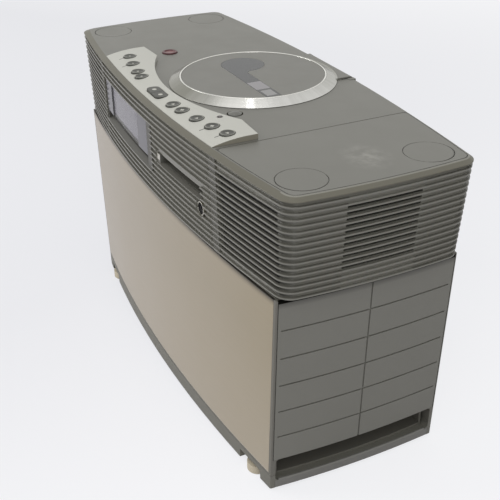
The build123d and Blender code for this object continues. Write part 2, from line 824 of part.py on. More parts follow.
# Disc well, with the slider's channel moulded onto it
spindle = Plane((0, lid_y, 0))
well_floor_z = top_z - well_floor_drop
flange_z = core_z - well_wall
flange_r = lid_hole_r + 4.0
channel_wall = 1.6
channel_in = well_r + well_wall - gap
channel_z = slider_z - gap - channel_wall
channel_end = slider_tip + slider_l + release_travel + 2 * gap + channel_wall
channel_top = release_collar_z - 1.0 - release_travel - gap
with BuildPart() as disc_well:
    add(turned(spindle, [
        (hub_bay_r, well_floor_z - well_wall), (well_r + well_wall, well_floor_z - well_wall),
        (well_r + well_wall, flange_z), (flange_r, flange_z), (flange_r, core_z),
        (well_r, core_z), (well_r, well_floor_z), (hub_bay_r, well_floor_z)]))
    with BuildSketch(Plane.XY.offset(well_floor_z)):
        with Locations(((lens_x + sled_travel + turret_w / 2 + gap) / 2, lid_y)):
            Rectangle(lens_x + sled_travel + turret_w / 2 + gap, turret_d + 4 * gap)
    extrude(amount=-2 * well_wall, mode=Mode.SUBTRACT)
    with BuildSketch(release_plane.offset(channel_top)):
        with Locations(((channel_in + channel_end - channel_wall) / 2, 0)):
            Rectangle(channel_end - channel_in + channel_wall, 2 * (catch_bay + channel_wall))
    extrude(amount=channel_z - channel_top)
    with BuildSketch(release_plane.offset(slider_z - gap)):
        with Locations(((channel_in + channel_end - channel_wall) / 2, 0)):
            Rectangle(channel_end - channel_wall - channel_in, 2 * catch_bay)
    extrude(amount=core_z, mode=Mode.SUBTRACT)
    with BuildSketch(release_plane.offset(slider_z)):
        with Locations(((channel_in + slider_tip) / 2 + gap, 0)):
            Rectangle(slider_tip - channel_in + 2 * gap, 2 * catch_bay)
    extrude(amount=channel_z - slider_z, mode=Mode.SUBTRACT)
    with Locations((0, hinge_y, core_z)):
        Box(2 * notch_half, 2 * (hinge_r + 2 * gap), 4 * well_wall, mode=Mode.SUBTRACT)
save(disc_well, "disc_well")

# Drive deck under the well: a plate with ears for the rods, the screw and their motor
deck_z = top_z - deck_drop
rod_z = deck_z - deck_t - sled_h / 2 - 0.5
ear_spots = [(x, y) for x in (rod_x0 + ear_t / 2, deck_x1 - ear_t / 2)
             for y in (lid_y - rod_y, lid_y + rod_y)]
ear_spots += [(x, lid_y + screw_y) for x in (rod_x0 + ear_t / 2, deck_x1 - ear_t / 2)]
ear_half = rod_r + 2.5
ear_h = deck_z - deck_t - rod_z + ear_half
with BuildPart() as drive_deck:
    with BuildSketch(Plane.XY.offset(deck_z)):
        with Locations(((deck_x0 + deck_x1) / 2, lid_y)):
            RectangleRounded(deck_x1 - deck_x0, 2 * deck_half_d, 4.0)
        with Locations((lens_x + sled_travel / 2, lid_y)):
            Rectangle(sled_travel + turret_w + 4 * gap, turret_d + 4 * gap, mode=Mode.SUBTRACT)
        with Locations((0, lid_y)):
            Circle(3 * shaft_r, mode=Mode.SUBTRACT)
    extrude(amount=-deck_t)
    for x, y in ear_spots:
        with Locations((x, y, deck_z - deck_t - ear_h / 2)):
            Box(ear_t, 2 * ear_half, ear_h)
    for y in (lid_y - rod_y, lid_y + rod_y, lid_y + screw_y):
        with Locations(((rod_x0 + deck_x1) / 2, y, rod_z)):
            Cylinder(rod_r + running, deck_x1 - rod_x0, rotation=(0, 90, 0), mode=Mode.SUBTRACT)
save(drive_deck, "drive_deck")

damper_half_d = 32.0
damper_x = (deck_x0 + 8.0, deck_x1 - 22.0)
with BuildPart() as deck_dampers:
    for x in damper_x:
        for y in (lid_y - damper_half_d, lid_y + damper_half_d):
            add(turned(Plane((x, y, deck_z)), [
                (0, 0), (4.5, 0), (4.5, 1.5), (3.2, 3.0), (4.5, 4.5),
                (4.5, well_floor_z - well_wall - deck_z), (0, well_floor_z - well_wall - deck_z)]))
save(deck_dampers, "deck_dampers")

# Spindle: the platform and cone that carry the disc, on the shaft of the motor below
motor_z = deck_z - deck_t
bore_z = motor_z - motor_h / 2
disc_z = top_z - disc_drop
cone_h = 2.8
platform_t = 1.6
with BuildPart() as spindle_hub:
    add(turned(spindle, [
        (0, bore_z + gap), (shaft_r, bore_z + gap), (shaft_r, deck_z + gap), (5.0, deck_z + gap),
        (5.0, disc_z - platform_t), (hub_r, disc_z - platform_t), (hub_r, disc_z),
        (disc_hole_r - 0.1, disc_z), (disc_hole_r - 0.1, disc_z + cone_h / 2),
        (disc_hole_r - 1.5, disc_z + cone_h), (0, disc_z + cone_h)]))
save(spindle_hub, "spindle_hub")

# Laser sled on its two rods, with the nut that rides on the feed screw
sled_x = lens_x + 1.5
sled_y0 = lid_y - rod_y - 3.5
sled_y1 = lid_y + screw_y + 3.5
turret_z = well_floor_z + 0.5
with BuildPart() as laser_sled:
    with Locations((sled_x, (sled_y0 + sled_y1) / 2, rod_z)):
        Box(sled_w, sled_y1 - sled_y0, sled_h)
    with Locations((sled_x, lid_y, rod_z)):
        Box(sled_w - 8.0, 2 * rod_y - 10.0, 2 * sled_h, mode=Mode.SUBTRACT)
    with Locations((lens_x, lid_y, (rod_z + turret_z) / 2)):
        Box(turret_w, turret_d, turret_z - rod_z)
    with Locations((sled_x, lid_y, rod_z - sled_h / 2 + 1.0)):
        Box(sled_w - 4.0, 2 * rod_y - 8.0, 2.0)
    with Locations((lens_x, lid_y, turret_z + 0.6)):
        Cylinder(3.4, 1.2)
    for y in (lid_y - rod_y, lid_y + rod_y, lid_y + screw_y):
        with Locations((sled_x, y, rod_z)):
            Cylinder(rod_r + running, 2 * sled_w, rotation=(0, 90, 0), mode=Mode.SUBTRACT)
save(laser_sled, "laser_sled")

with BuildPart() as guide_rods:
    with Locations(*[((rod_x0 + deck_x1) / 2, lid_y + side * rod_y, rod_z) for side in (-1, 1)]):
        Cylinder(rod_r, deck_x1 - rod_x0, rotation=(0, 90, 0))
save(guide_rods, "guide_rods")

feed_motor_l = 14.0
screw_x0 = rod_x0 - 1.0
screw_x1 = deck_x1 + feed_motor_l / 3
with BuildPart() as feed_screw:
    with Locations(((screw_x0 + screw_x1) / 2, lid_y + screw_y, rod_z)):
        Cylinder(rod_r, screw_x1 - screw_x0, rotation=(0, 90, 0))
save(feed_screw, "feed_screw")

with BuildPart() as drive_motors:
    add(turned(spindle, [
        (0, motor_z - motor_h), (motor_r, motor_z - motor_h), (motor_r, motor_z),
        (shaft_r + running, motor_z), (shaft_r + running, bore_z), (0, bore_z)]))
    with Locations((deck_x1 + feed_motor_l / 2, lid_y + screw_y, rod_z)):
        Cylinder(6.0, feed_motor_l, rotation=(0, 90, 0))
    with Locations((deck_x1, lid_y + screw_y, rod_z)):
        Cylinder(rod_r + running, feed_motor_l, rotation=(0, 90, 0), mode=Mode.SUBTRACT)
save(drive_motors, "drive_motors")

# Lid ring: brushed slope, inner ledge, skirt, and the hinge tab with its barrel
lid_z0 = top_z + gap
lid_z1 = top_z + lid_rise
ledge_z = lid_z1 - lid_t
skirt_r = lid_hole_r - 1.0
tab_z = hinge_z + hinge_r
with BuildPart() as lid_ring:
    add(turned(spindle, [
        (lid_r, lid_z0), (lid_face_r, lid_z1), (lid_face_r, ledge_z),
        (lid_face_r - ledge_w, ledge_z), (lid_face_r - ledge_w, ledge_z - 1.6),
        (skirt_r - skirt_t, ledge_z - 1.6), (skirt_r - skirt_t, lid_z0 - skirt_h),
        (skirt_r, lid_z0 - skirt_h), (skirt_r, lid_z0)]))
    with BuildSketch(Plane.XY.offset(lid_z0 - gap)):
        with Locations((0, (hinge_y + lid_y + lid_hole_r - 14.0) / 2)):
            Rectangle(2 * tab_half, hinge_y - lid_y - lid_hole_r + 14.0)
        with Locations((0, lid_y)):
            Circle(skirt_r - skirt_t / 2, mode=Mode.SUBTRACT)
    extrude(amount=tab_z - lid_z0 + gap)
    with Locations((0, hinge_y, hinge_z)):
        Cylinder(hinge_r, 2 * tab_half, rotation=(0, 90, 0))
        Cylinder(pin_r + running, 3 * tab_half, rotation=(0, 90, 0), mode=Mode.SUBTRACT)
save(lid_ring, "lid_ring")

with BuildPart() as hinge_pin:
    with Locations((0, hinge_y, hinge_z)):
        Cylinder(pin_r, 2 * cheek_half - fit, rotation=(0, 90, 0))
save(hinge_pin, "hinge_pin")

trim_r = lid_face_r - fit
with BuildPart() as lid_trim:
    add(turned(spindle, [
        (trim_r - trim_w, ledge_z), (trim_r, ledge_z), (trim_r, lid_z1),
        (trim_r - trim_w / 2, lid_z1 + gap), (trim_r - trim_w, lid_z1)]))
save(lid_trim, "lid_trim")

# Lid plate: grey disc with a flush inlay, and under it the boss that keeps the clamp
plate_r = trim_r - trim_w - fit
plate_z = lid_z1 - fit
inlay_t = 0.8
boss_t = 1.6
clamp_z0 = disc_z + 1.4
clamp_z1 = disc_z + 5.5
lip_z = clamp_z1 - 2.0 - gap
lip_t = 1.2
head_x, head_y, head_r = -27.5, 12.6, 19.5
neck_r = 5.0
tail_x1 = 60.0
tail_y0, tail_y1 = -6.7, 7.0


def inlay_plan(inset):
    """The inlay's outline, a round head with a straight tail to the right, less inset."""
    with BuildSketch() as outline:
        with Locations((head_x, head_y)):
            Circle(head_r - inset)
        with Locations(((head_x + tail_x1) / 2, (tail_y0 + tail_y1) / 2)):
            Rectangle(tail_x1 - head_x - 2 * inset, tail_y1 - tail_y0 - 2 * inset)
        fillet(outline.vertices().sort_by_distance((head_x + head_r, tail_y1, 0))[0], neck_r + inset)
        with Locations((0, lid_y)):
            Circle(plate_r - 1.0 - inset, mode=Mode.INTERSECT)
    return outline.sketch


with BuildPart() as lid_plate:
    add(turned(spindle, [
        (0, plate_z), (plate_r, plate_z), (plate_r, ledge_z), (boss_r, ledge_z),
        (boss_r, lip_z - lip_t), (retainer_r, lip_z - lip_t), (retainer_r, lip_z),
        (boss_r - boss_t, lip_z), (boss_r - boss_t, ledge_z), (3.0, ledge_z),
        (3.0, clamp_z1 + gap), (0, clamp_z1 + gap)]))
    with BuildSketch(Plane.XY.offset(plate_z)):
        add(inlay_plan(0.0))
    extrude(amount=-inlay_t, mode=Mode.SUBTRACT)
save(lid_plate, "lid_plate")

with BuildPart() as lid_inlay:
    with BuildSketch(Plane.XY.offset(plate_z - inlay_t)):
        add(inlay_plan(fit))
    extrude(amount=inlay_t)
save(lid_inlay, "lid_inlay")

# Disc clamp, loose in its boss, with a recess over the spindle's cone
with BuildPart() as disc_clamp:
    add(turned(spindle, [
        (0, clamp_z1), (clamp_r, clamp_z1), (clamp_r, lip_z + gap),
        (retainer_r - 2 * gap, lip_z + gap), (retainer_r - 2 * gap, clamp_z0),
        (disc_hole_r + 1.0, clamp_z0), (disc_hole_r + 1.0, disc_z + cone_h + 1.0),
        (0, disc_z + cone_h + 1.0)]))
save(disc_clamp, "disc_clamp")

# Catch that hangs from the lid ring into the slider's channel
with BuildPart() as lid_catch:
    with BuildSketch(release_plane.offset(lid_z0)):
        with Locations((catch_r + catch_t / 2, 0)):
            Rectangle(catch_t, 2 * catch_half)
    extrude(amount=channel_z - lid_z0)
    with BuildSketch(release_plane.offset(channel_z)):
        with Locations((catch_r + (catch_t + catch_nose) / 2, 0)):
            Rectangle(catch_t + catch_nose, 2 * catch_half)
    extrude(amount=slider_z - gap - channel_z)
save(lid_catch, "lid_catch")

# Floor of the head, which closes the cabinet and carries the board and the speakers
floor_t = 3.0
floor_z = head_z + floor_t
with BuildPart() as head_floor:
    with BuildSketch(Plane.XY.offset(head_z)):
        add(head_plan(head_z, fin_depth + head_wall + seam))
    extrude(amount=floor_t)
save(head_floor, "head_floor")

# Main board on four posts, with capacitors, chips and a finned cooler
main_x, main_y = -20.0, 20.0
main_w, main_d = 170.0, 84.0
main_z = floor_z + 5.0
chip_spots = [(-52.0, 8.0), (-20.0, -18.0), (14.0, 12.0), (40.0, -20.0)]
capacitor_x = 66.0
capacitor_r = 9.0
cooler_x = 66.0
cooler_h = 24.0
cooler_l = 60.0
with BuildPart() as main_board:
    with Locations((main_x, main_y, main_z + board_t / 2)):
        Box(main_w, main_d, board_t)
        with GridLocations(main_w - 12.0, main_d - 12.0, 2, 2):
            with Locations((0, 0, -(main_z - floor_z + board_t) / 2)):
                Cylinder(3.0, main_z - floor_z)
    with BuildSketch(Plane.XY.offset(main_z + board_t)):
        with Locations(*[(main_x + x, main_y + y) for x, y in chip_spots]):
            Rectangle(16.0, 12.0)
    extrude(amount=2.2)
    with BuildSketch(Plane.XY.offset(main_z + board_t)):
        with Locations((main_x - capacitor_x, main_y - 2 * capacitor_r),
                       (main_x - capacitor_x, main_y + capacitor_r / 2)):
            Circle(capacitor_r)
    extrude(amount=22.0)
    with BuildSketch(Plane.XY.offset(main_z + board_t)):
        with Locations((main_x + cooler_x, main_y)):
            Rectangle(3.0, cooler_l)
            with GridLocations(0, 10.0, 1, 6):
                Rectangle(18.0, 2.0)
    extrude(amount=cooler_h)
save(main_board, "main_board")

# Small speakers behind the ribs, one in each end, with cloth over the windows
speaker_x = (window_x0 + window_end_x) / 2
speaker_z = (floor_z + core_z) / 2
speaker_turn = speaker_x / front_r
speaker_gap = 3.4
speaker_y = head_front_y(speaker_x, speaker_z, fin_depth + head_wall + speaker_gap)
speaker_planes = [
    Plane((side * speaker_x, speaker_y, speaker_z),
          x_dir=(cos(speaker_turn), side * sin(speaker_turn), 0),
          z_dir=(side * sin(speaker_turn), -cos(speaker_turn), 0)) for side in (-1, 1)]
cloth_t = 0.6
cloth_margin = 3.0

with BuildPart() as right_cloth:
    for z in (head_z, ring_top):
        with BuildSketch(Plane.XY.offset(z)):
            add(head_plan(z, fin_depth + head_wall + 0.1))
    loft(ruled=True)
    for z in (head_z, ring_top):
        with BuildSketch(Plane.XY.offset(z)):
            add(head_plan(z, fin_depth + head_wall + 0.1 + cloth_t))
    loft(ruled=True, mode=Mode.SUBTRACT)
    with Locations(((window_x0 + window_end_x) / 2, -head_half_d, (window_z0 + window_z1) / 2)):
        Box(window_end_x - window_x0 + 2 * cloth_margin, head_half_d,
            window_z1 - window_z0 + 2 * cloth_margin, mode=Mode.INTERSECT)

with BuildPart() as grille_cloths:
    add(right_cloth.part)
    mirror(right_cloth.part, about=Plane.YZ)
save(grille_cloths, "grille_cloths")

with BuildPart() as speaker_baskets:
    for plane in speaker_planes:
        add(turned(plane, [
            (29.5, 0), (36.0, 0), (36.0, -2.0), (31.5, -2.0), (23.0, -15.0), (23.0, -26.0),
            (0, -26.0), (0, -17.0), (20.0, -17.0), (20.0, -14.5), (29.5, -3.0)]))
save(speaker_baskets, "speaker_baskets")

with BuildPart() as speaker_cones:
    for plane in speaker_planes:
        add(turned(plane, [
            (0, -8.6), (5.0, -9.2), (9.0, -11.0), (26.0, -2.0), (27.6, -0.8), (29.4, -0.8),
            (29.4, -1.6), (27.0, -2.2), (9.0, -12.2), (5.0, -10.2), (0, -9.6)]))
save(speaker_cones, "speaker_cones")

# Cabinet shell: leaning sides, bowed front and back, recesses for the outer panels
base_z = foot_rise + base_h
shell_z = base_z + seam
panel_z = shell_z + rail_h
cut_out = 5.0
inlet_x, inlet_z = -140.0, 62.0
inlet_w, inlet_h, inlet_d = 27.0, 20.0, 16.0
inlet_y = bow_y(inlet_x, cab_half_w - cab_taper / 2, cab_half_d, cab_back_bow) - 1.0

with BuildPart() as side_recess:
    for z in (port_z1, head_z):
        with BuildSketch(Plane.XY.offset(z)):
            add(side_strip(-insert_y - insert_gap, insert_y + insert_gap, z,
                           -cut_out, cut_out + insert_t + fit))
    loft(ruled=True)

with BuildPart() as port_cut:
    with Locations((0, 0, (port_z0 + port_z1) / 2)):
        Box(2 * (cab_half_w + cut_out), 2 * port_half, port_z1 - port_z0)
    fillet(port_cut.edges().filter_by(Axis.X), port_corner)

with BuildPart() as cabinet_shell:
    for z in (shell_z, head_z):
        with BuildSketch(Plane.XY.offset(z)):
            add(cabinet_plan(z))
    loft(ruled=True)
    for z in (shell_z, head_z):
        with BuildSketch(Plane.XY.offset(z)):
            add(cabinet_plan(z, core_inset))
    loft(ruled=True, mode=Mode.SUBTRACT)
    for z in (panel_z, head_z):
        with BuildSketch(Plane.XY.offset(z)):
            add(panel_strip(z, fit, -cut_out, cut_out + front_panel_t + fit))
    loft(ruled=True, mode=Mode.SUBTRACT)
    add(side_recess.part, mode=Mode.SUBTRACT)
    mirror(side_recess.part, about=Plane.YZ, mode=Mode.SUBTRACT)
    add(port_cut.part, mode=Mode.SUBTRACT)
    with Locations((inlet_x, inlet_y - inlet_d / 2 + cut_out, inlet_z)):
        Box(inlet_w + 2 * fit, inlet_d + 2 * cut_out, inlet_h + 2 * fit, mode=Mode.SUBTRACT)
save(cabinet_shell, "cabinet_shell")

# Front panel, one bowed sheet that leans in with the sides
with BuildPart() as front_panel:
    for z in (panel_z + fit, head_z - seam):
        with BuildSketch(Plane.XY.offset(z)):
            add(panel_strip(z, 0, 0, front_panel_t))
    loft(ruled=True)
save(front_panel, "front_panel")

# Grooved panels in the two sides
groove_heights = [head_z - groove_first - row * groove_pitch for row in range(groove_count)]
with BuildPart() as right_insert:
    for z in (port_z1 + fit, head_z - seam):
        with BuildSketch(Plane.XY.offset(z)):
            add(side_strip(-insert_y, insert_y, z, 0, insert_t))
    loft(ruled=True)
    for z in groove_heights:
        with BuildSketch(Plane.XY.offset(z)):
            add(side_strip(-groove_end, groove_end, z, -cut_out, cut_out + groove_d))
        extrude(amount=groove_w, mode=Mode.SUBTRACT)
    for z in (port_z1, head_z):
        with BuildSketch(Plane.XY.offset(z)):
            add(side_strip(-groove_w / 2, groove_w / 2, z, -cut_out, cut_out + groove_d))
    loft(ruled=True, mode=Mode.SUBTRACT)

with BuildPart() as side_inserts:
    add(right_insert.part)
    mirror(right_insert.part, about=Plane.YZ)
save(side_inserts, "side_inserts")

# Lips under the two ports
with BuildPart() as right_lip:
    for z, sink in ((foot_rise + fit, 0), (port_z0 - port_lip, 0), (port_z0, port_lip)):
        with BuildSketch(Plane.XY.offset(z)):
            add(side_strip(-port_half, port_half, z, sink, insert_t - sink))
    loft(ruled=True)

with BuildPart() as port_lips:
    add(right_lip.part)
    mirror(right_lip.part, about=Plane.YZ)
save(port_lips, "port_lips")

# Base tray: walls all round, a raised floor, bays that show the feet
with BuildPart() as lip_recess:
    for z in (foot_rise - 1.0, port_z0):
        with BuildSketch(Plane.XY.offset(z)):
            add(side_strip(-port_half - fit, port_half + fit, z, -cut_out, cut_out + insert_t + fit))
    loft(ruled=True)

bay_w = foot_bay_x1 - foot_bay_x0
bay_x = (foot_bay_x0 + foot_bay_x1) / 2
bay_reach = 2.0
with BuildPart() as base_tray:
    for z in (foot_rise, base_z):
        with BuildSketch(Plane.XY.offset(z)):
            add(cabinet_plan(z))
    loft(ruled=True)
    with BuildSketch(Plane.XY.offset(base_z)):
        add(cabinet_plan(foot_rise, core_inset))
    extrude(amount=port_z0 - base_z, mode=Mode.SUBTRACT)
    with BuildSketch(Plane.XY.offset(foot_rise)):
        add(cabinet_plan(foot_rise, core_inset))
    extrude(amount=port_z0 - base_floor_t - foot_rise, mode=Mode.SUBTRACT)
    add(lip_recess.part, mode=Mode.SUBTRACT)
    mirror(lip_recess.part, about=Plane.YZ, mode=Mode.SUBTRACT)
    add(port_cut.part, mode=Mode.SUBTRACT)
    with Locations((0, 0, foot_rise)):
        with GridLocations(2 * bay_x, 2 * (foot_y + foot_r + cut_out), 2, 2):
            Box(bay_w, 2 * (foot_r + cut_out + bay_reach), 2 * (foot_bay_z - foot_rise),
                mode=Mode.SUBTRACT)
save(base_tray, "base_tray")

foot_top = port_z0 - base_floor_t
with BuildPart() as feet:
    for side in (-1, 1):
        for end in (-1, 1):
            add(turned(Plane((side * foot_x, end * foot_y, 0)), [
                (0, 0), (foot_r - 1.0, 0), (foot_r, 1.0), (foot_r, foot_top), (0, foot_top)]))
save(feet, "feet")

# Bass duct across the cabinet, under the baffle of the bass speaker
duct_half = port_half - 2.6
baffle_z = port_z1 + baffle_t
woofer_hole_r = 50.0
with BuildPart() as bass_duct:
    with BuildSketch(Plane.XY.offset(port_z0)):
        add(cabinet_plan(foot_rise, core_inset + seam))
    extrude(amount=baffle_z - port_z0)
    with Locations((0, head_half_w, port_z1 - head_half_w)):
        Box(3 * head_half_w, 2 * (head_half_w - duct_half), 2 * head_half_w, mode=Mode.SUBTRACT)
    with Locations((0, -head_half_w, port_z1 - head_half_w)):
        Box(3 * head_half_w, 2 * (head_half_w - duct_half), 2 * head_half_w, mode=Mode.SUBTRACT)
    with Locations((0, 0, (port_z0 + duct_wall + port_z1) / 2)):
        Box(3 * head_half_w, 2 * (duct_half - duct_wall), port_z1 - port_z0 - duct_wall,
            mode=Mode.SUBTRACT)
    with Locations((0, 0, port_z1)):
        Cylinder(woofer_hole_r, 2 * baffle_t + fit, mode=Mode.SUBTRACT)
save(bass_duct, "bass_duct")

woofer = Plane((0, 0, baffle_z), x_dir=(1, 0, 0), z_dir=(0, 0, -1))
with BuildPart() as woofer_basket:
    add(turned(woofer, [
        (woofer_hole_r, 0), (60.0, 0), (60.0, -3.0), (53.0, -3.0), (38.0, -26.0), (38.0, -42.0),
        (0, -42.0), (0, -29.0), (34.0, -29.0), (34.0, -25.0), (woofer_hole_r, -4.5)]))
save(woofer_basket, "woofer_basket")

with BuildPart() as woofer_cone:
    add(turned(woofer, [
        (0, -14.0), (10.0, -15.5), (16.0, -19.0), (42.0, -4.0), (45.0, -1.5), (49.6, -1.5),
        (49.6, -2.6), (45.0, -3.6), (16.0, -20.6), (10.0, -16.6), (0, -15.2)]))
save(woofer_cone, "woofer_cone")

# Mains inlet in the back, with its two pins in a round-ended recess
with BuildPart() as mains_inlet:
    with Locations((inlet_x, inlet_y - inlet_d / 2, inlet_z)):
        Box(inlet_w, inlet_d, inlet_h)
    with BuildSketch(Plane.XZ.offset(-inlet_y)):
        with Locations((inlet_x, inlet_z)):
            SlotOverall(17.0, 9.0)
            with GridLocations(8.0, 0, 2, 1):
                Circle(1.3, mode=Mode.SUBTRACT)
    extrude(amount=10.0, mode=Mode.SUBTRACT)
save(mains_inlet, "mains_inlet")
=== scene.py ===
"""The compact stereo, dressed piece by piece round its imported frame."""
import math

import bmesh
import bpy
from mathutils import Matrix, Vector


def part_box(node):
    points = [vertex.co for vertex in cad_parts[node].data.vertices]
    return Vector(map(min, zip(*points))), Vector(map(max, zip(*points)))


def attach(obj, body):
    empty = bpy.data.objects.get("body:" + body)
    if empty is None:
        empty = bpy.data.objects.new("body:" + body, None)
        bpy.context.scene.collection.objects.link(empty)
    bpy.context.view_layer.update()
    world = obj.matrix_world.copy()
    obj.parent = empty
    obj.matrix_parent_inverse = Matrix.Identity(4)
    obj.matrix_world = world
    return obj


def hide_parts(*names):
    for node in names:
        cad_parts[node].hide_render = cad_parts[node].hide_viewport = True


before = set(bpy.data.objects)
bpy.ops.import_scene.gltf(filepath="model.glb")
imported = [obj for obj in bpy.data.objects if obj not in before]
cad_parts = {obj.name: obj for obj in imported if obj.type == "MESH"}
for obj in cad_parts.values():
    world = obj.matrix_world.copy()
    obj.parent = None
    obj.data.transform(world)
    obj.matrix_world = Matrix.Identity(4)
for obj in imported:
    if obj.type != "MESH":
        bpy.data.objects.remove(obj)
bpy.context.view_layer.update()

# The photograph's view: a long lens from the right, above the top's front corner, solved from
# the straight edges and round pads of the object itself.
lens_mm = 66.47
view_place = Vector((0.70215, -0.32320, 0.53028))
view_turn = math.radians(65.013)
view_drop = math.radians(29.024)
view_roll = math.radians(-0.948)
ahead = Vector((-math.sin(view_turn) * math.cos(view_drop),
                math.cos(view_turn) * math.cos(view_drop),
                -math.sin(view_drop)))
level = ahead.cross(Vector((0, 0, 1))).normalized()
right = level * math.cos(view_roll) + level.cross(ahead) * math.sin(view_roll)
upward = right.cross(ahead)
camera_data = bpy.data.cameras.new("camera")
camera_data.lens = lens_mm
camera_data.clip_start = 0.01
camera = bpy.data.objects.new("camera", camera_data)
camera.matrix_world = Matrix((
    (right.x, upward.x, -ahead.x, view_place.x),
    (right.y, upward.y, -ahead.y, view_place.y),
    (right.z, upward.z, -ahead.z, view_place.z),
    (0, 0, 0, 1)))
bpy.context.collection.objects.link(camera)
bpy.context.scene.camera = camera
bpy.context.scene.view_settings.view_transform = "Standard"


# The stage is a wide sheet of white paper, which keeps a soft shadow of the stereo under softbox
# lamps; painted light, seen by the camera, makes it paler towards the right. Finishes are written
# with the class below, as sums of sockets.
# A Mix node has sockets for every kind of value, so the ones for colours go by number.
mix_low, mix_high, mix_out = 6, 7, 2


class Shade:
    """One socket of a node tree. Sums, products and comparisons on it add their own Math nodes."""

    def __init__(self, tree, socket=None):
        self.tree = tree
        self.socket = socket

    def node(self, kind, sockets=(), output=0, **settings):
        made = self.tree.nodes.new(kind)
        for name, value in settings.items():
            setattr(made, name, value)
        for name, value in dict(sockets).items():
            if isinstance(value, Shade):
                self.tree.links.new(value.socket, made.inputs[name])
            else:
                made.inputs[name].default_value = value
        return Shade(self.tree, made.outputs[output])

    def math(self, operation, *values, clamp=False):
        return self.node("ShaderNodeMath", enumerate(values), operation=operation, use_clamp=clamp)

    def __add__(self, other):
        return self.math("ADD", self, other)

    def __sub__(self, other):
        return self.math("SUBTRACT", self, other)

    def __rsub__(self, other):
        return self.math("SUBTRACT", other, self)

    def __mul__(self, other):
        return self.math("MULTIPLY", self, other)

    def __truediv__(self, other):
        return self.math("DIVIDE", self, other)

    def __lt__(self, other):
        return self.math("LESS_THAN", self, other)

    def __gt__(self, other):
        return self.math("GREATER_THAN", self, other)

    def mix(self, low, high):
        """The colour low where this is 0 and high where it is 1."""
        ends = [end if isinstance(end, Shade) else (*end, 1.0) for end in (low, high)]
        return self.node("ShaderNodeMix", {0: self, mix_low: ends[0], mix_high: ends[1]},
                         output=mix_out, data_type="RGBA")

    def feed(self, surface, name):
        """Links this to a socket of the surface."""
        self.tree.links.new(self.socket, surface.inputs[name])


def open_finish(name, **sockets):
    """A new finish: its material, a Shade to write with, and its surface node."""
    material = bpy.data.materials.new(name)
    material.use_nodes = True
    surface = material.node_tree.nodes["Principled BSDF"]
    for socket, value in sockets.items():
        surface.inputs[socket.replace("_", " ")].default_value = value
    return material, Shade(material.node_tree), surface


def own_place(shade):
    """The place on a piece, in its own metres."""
    return shade.node("ShaderNodeTexCoord", output="Object")


def spot(shade):
    """The place on a piece, as its three coordinates."""
    place = own_place(shade)
    return [shade.node("ShaderNodeSeparateXYZ", {"Vector": place}, output=axis)
            for axis in "XYZ"]


paper = (0.857, 0.851, 0.898)
paper_far = (0.72, 0.73, 0.77)
paper_near = (0.975, 0.98, 1.0)
paper_strength = 1.04
pale_here, pale_across, pale_along = 0.70, 1.20, 0.36
pale_bend, pale_turn = 0.70, 0.42
least_pale = 0.45
floor_half = 6.0
shadow_kept = 0.24
floor_mesh = bpy.data.meshes.new("floor")
floor_mesh.from_pydata(
    [(-floor_half, -floor_half, 0), (floor_half, -floor_half, 0),
     (floor_half, floor_half, 0), (-floor_half, floor_half, 0)], [], [(0, 1, 2, 3)])
floor = bpy.data.objects.new("floor", floor_mesh)
bpy.context.collection.objects.link(floor)
floor_finish, shade, surface = open_finish(
    "floor_paper", Base_Color=(*paper, 1.0), Roughness=0.9, Specular_IOR_Level=0.1)
across, along = spot(shade)[:2]
rise = across * pale_bend - along * pale_turn + pale_across
# Painted light: this glow makes the paper paler towards the right.
painted_paleness = shade.math("ADD", across * rise + along * pale_along, pale_here, clamp=True)
painted_paleness = shade.math("MAXIMUM", painted_paleness, least_pale)
glow = shade.node("ShaderNodeEmission", {"Color": painted_paleness.mix(paper_far, paper_near),
                                         "Strength": paper_strength})
seen = shade.node("ShaderNodeLightPath")
lit_paper = Shade(shade.tree, surface.outputs[0])
sheet = shade.node("ShaderNodeMixShader", {0: seen * (1.0 - shadow_kept), 1: lit_paper, 2: glow})
sheet.feed(shade.tree.nodes["Material Output"], "Surface")
floor_mesh.materials.append(floor_finish)

world = bpy.data.worlds.new("studio")
bpy.context.scene.world = world
world.use_nodes = True
sky = Shade(world.node_tree)
backdrop = world.node_tree.nodes["Background"]
room_tone = (0.87, 0.865, 0.84)
room_light = 0.56
rays = [sky.node("ShaderNodeLightPath", output=ray)
        for ray in ("Is Camera Ray", "Is Glossy Ray", "Is Transmission Ray")]
shown = sky.math("MAXIMUM", rays[0], sky.math("MAXIMUM", rays[1], rays[2]))
backdrop.inputs["Color"].default_value = (*room_tone, 1.0)
(shown * (1.0 - room_light) + room_light).feed(backdrop, "Strength")


lamp_tint = (1.0, 0.99, 0.97)


def softbox(name, place, aim, width, height, watts):
    """A square lamp at a place, turned to where it aims."""
    lamp = bpy.data.lights.new(name, "AREA")
    lamp.shape = "RECTANGLE"
    lamp.size = width
    lamp.size_y = height
    lamp.energy = watts
    lamp.color = lamp_tint
    holder = bpy.data.objects.new(name, lamp)
    holder.rotation_euler = (Vector(aim) - Vector(place)).to_track_quat("-Z", "Y").to_euler()
    holder.location = place
    bpy.context.collection.objects.link(holder)


softbox("lamp_over", (0.1, -0.1, 1.7), (0, 0, 0.2), 1.4, 1.0, 2.0)
softbox("lamp_strip", (-0.19, 0.06, 1.70), (0.05, 0, 0.27), 0.03, 0.30, 0.15)
softbox("lamp_left", (-0.9, -1.5, 0.9), (0, 0, 0.15), 1.0, 1.2, 12.0)
softbox("lamp_right", (1.5, -0.5, 1.0), (0, 0, 0.15), 0.5, 0.9, 3.2)
softbox("lamp_near", (0.80, -0.42, 1.40), (0.1, -0.05, 0.25), 0.22, 0.22, 1.8)


# Feet and base: cream plastic studs pressed into an olive tray, which is screwed to the cabinet
# from below. The tray is the same moulded plastic as the cabinet, with a fine spark-eroded grain.
mm = 0.001
cloud_waves = 24.0
cloud_share = 0.6
grain_waves = 2600.0
gloss_waves = 60.0
gloss_spread = 0.12
grain_height = 0.05 * mm


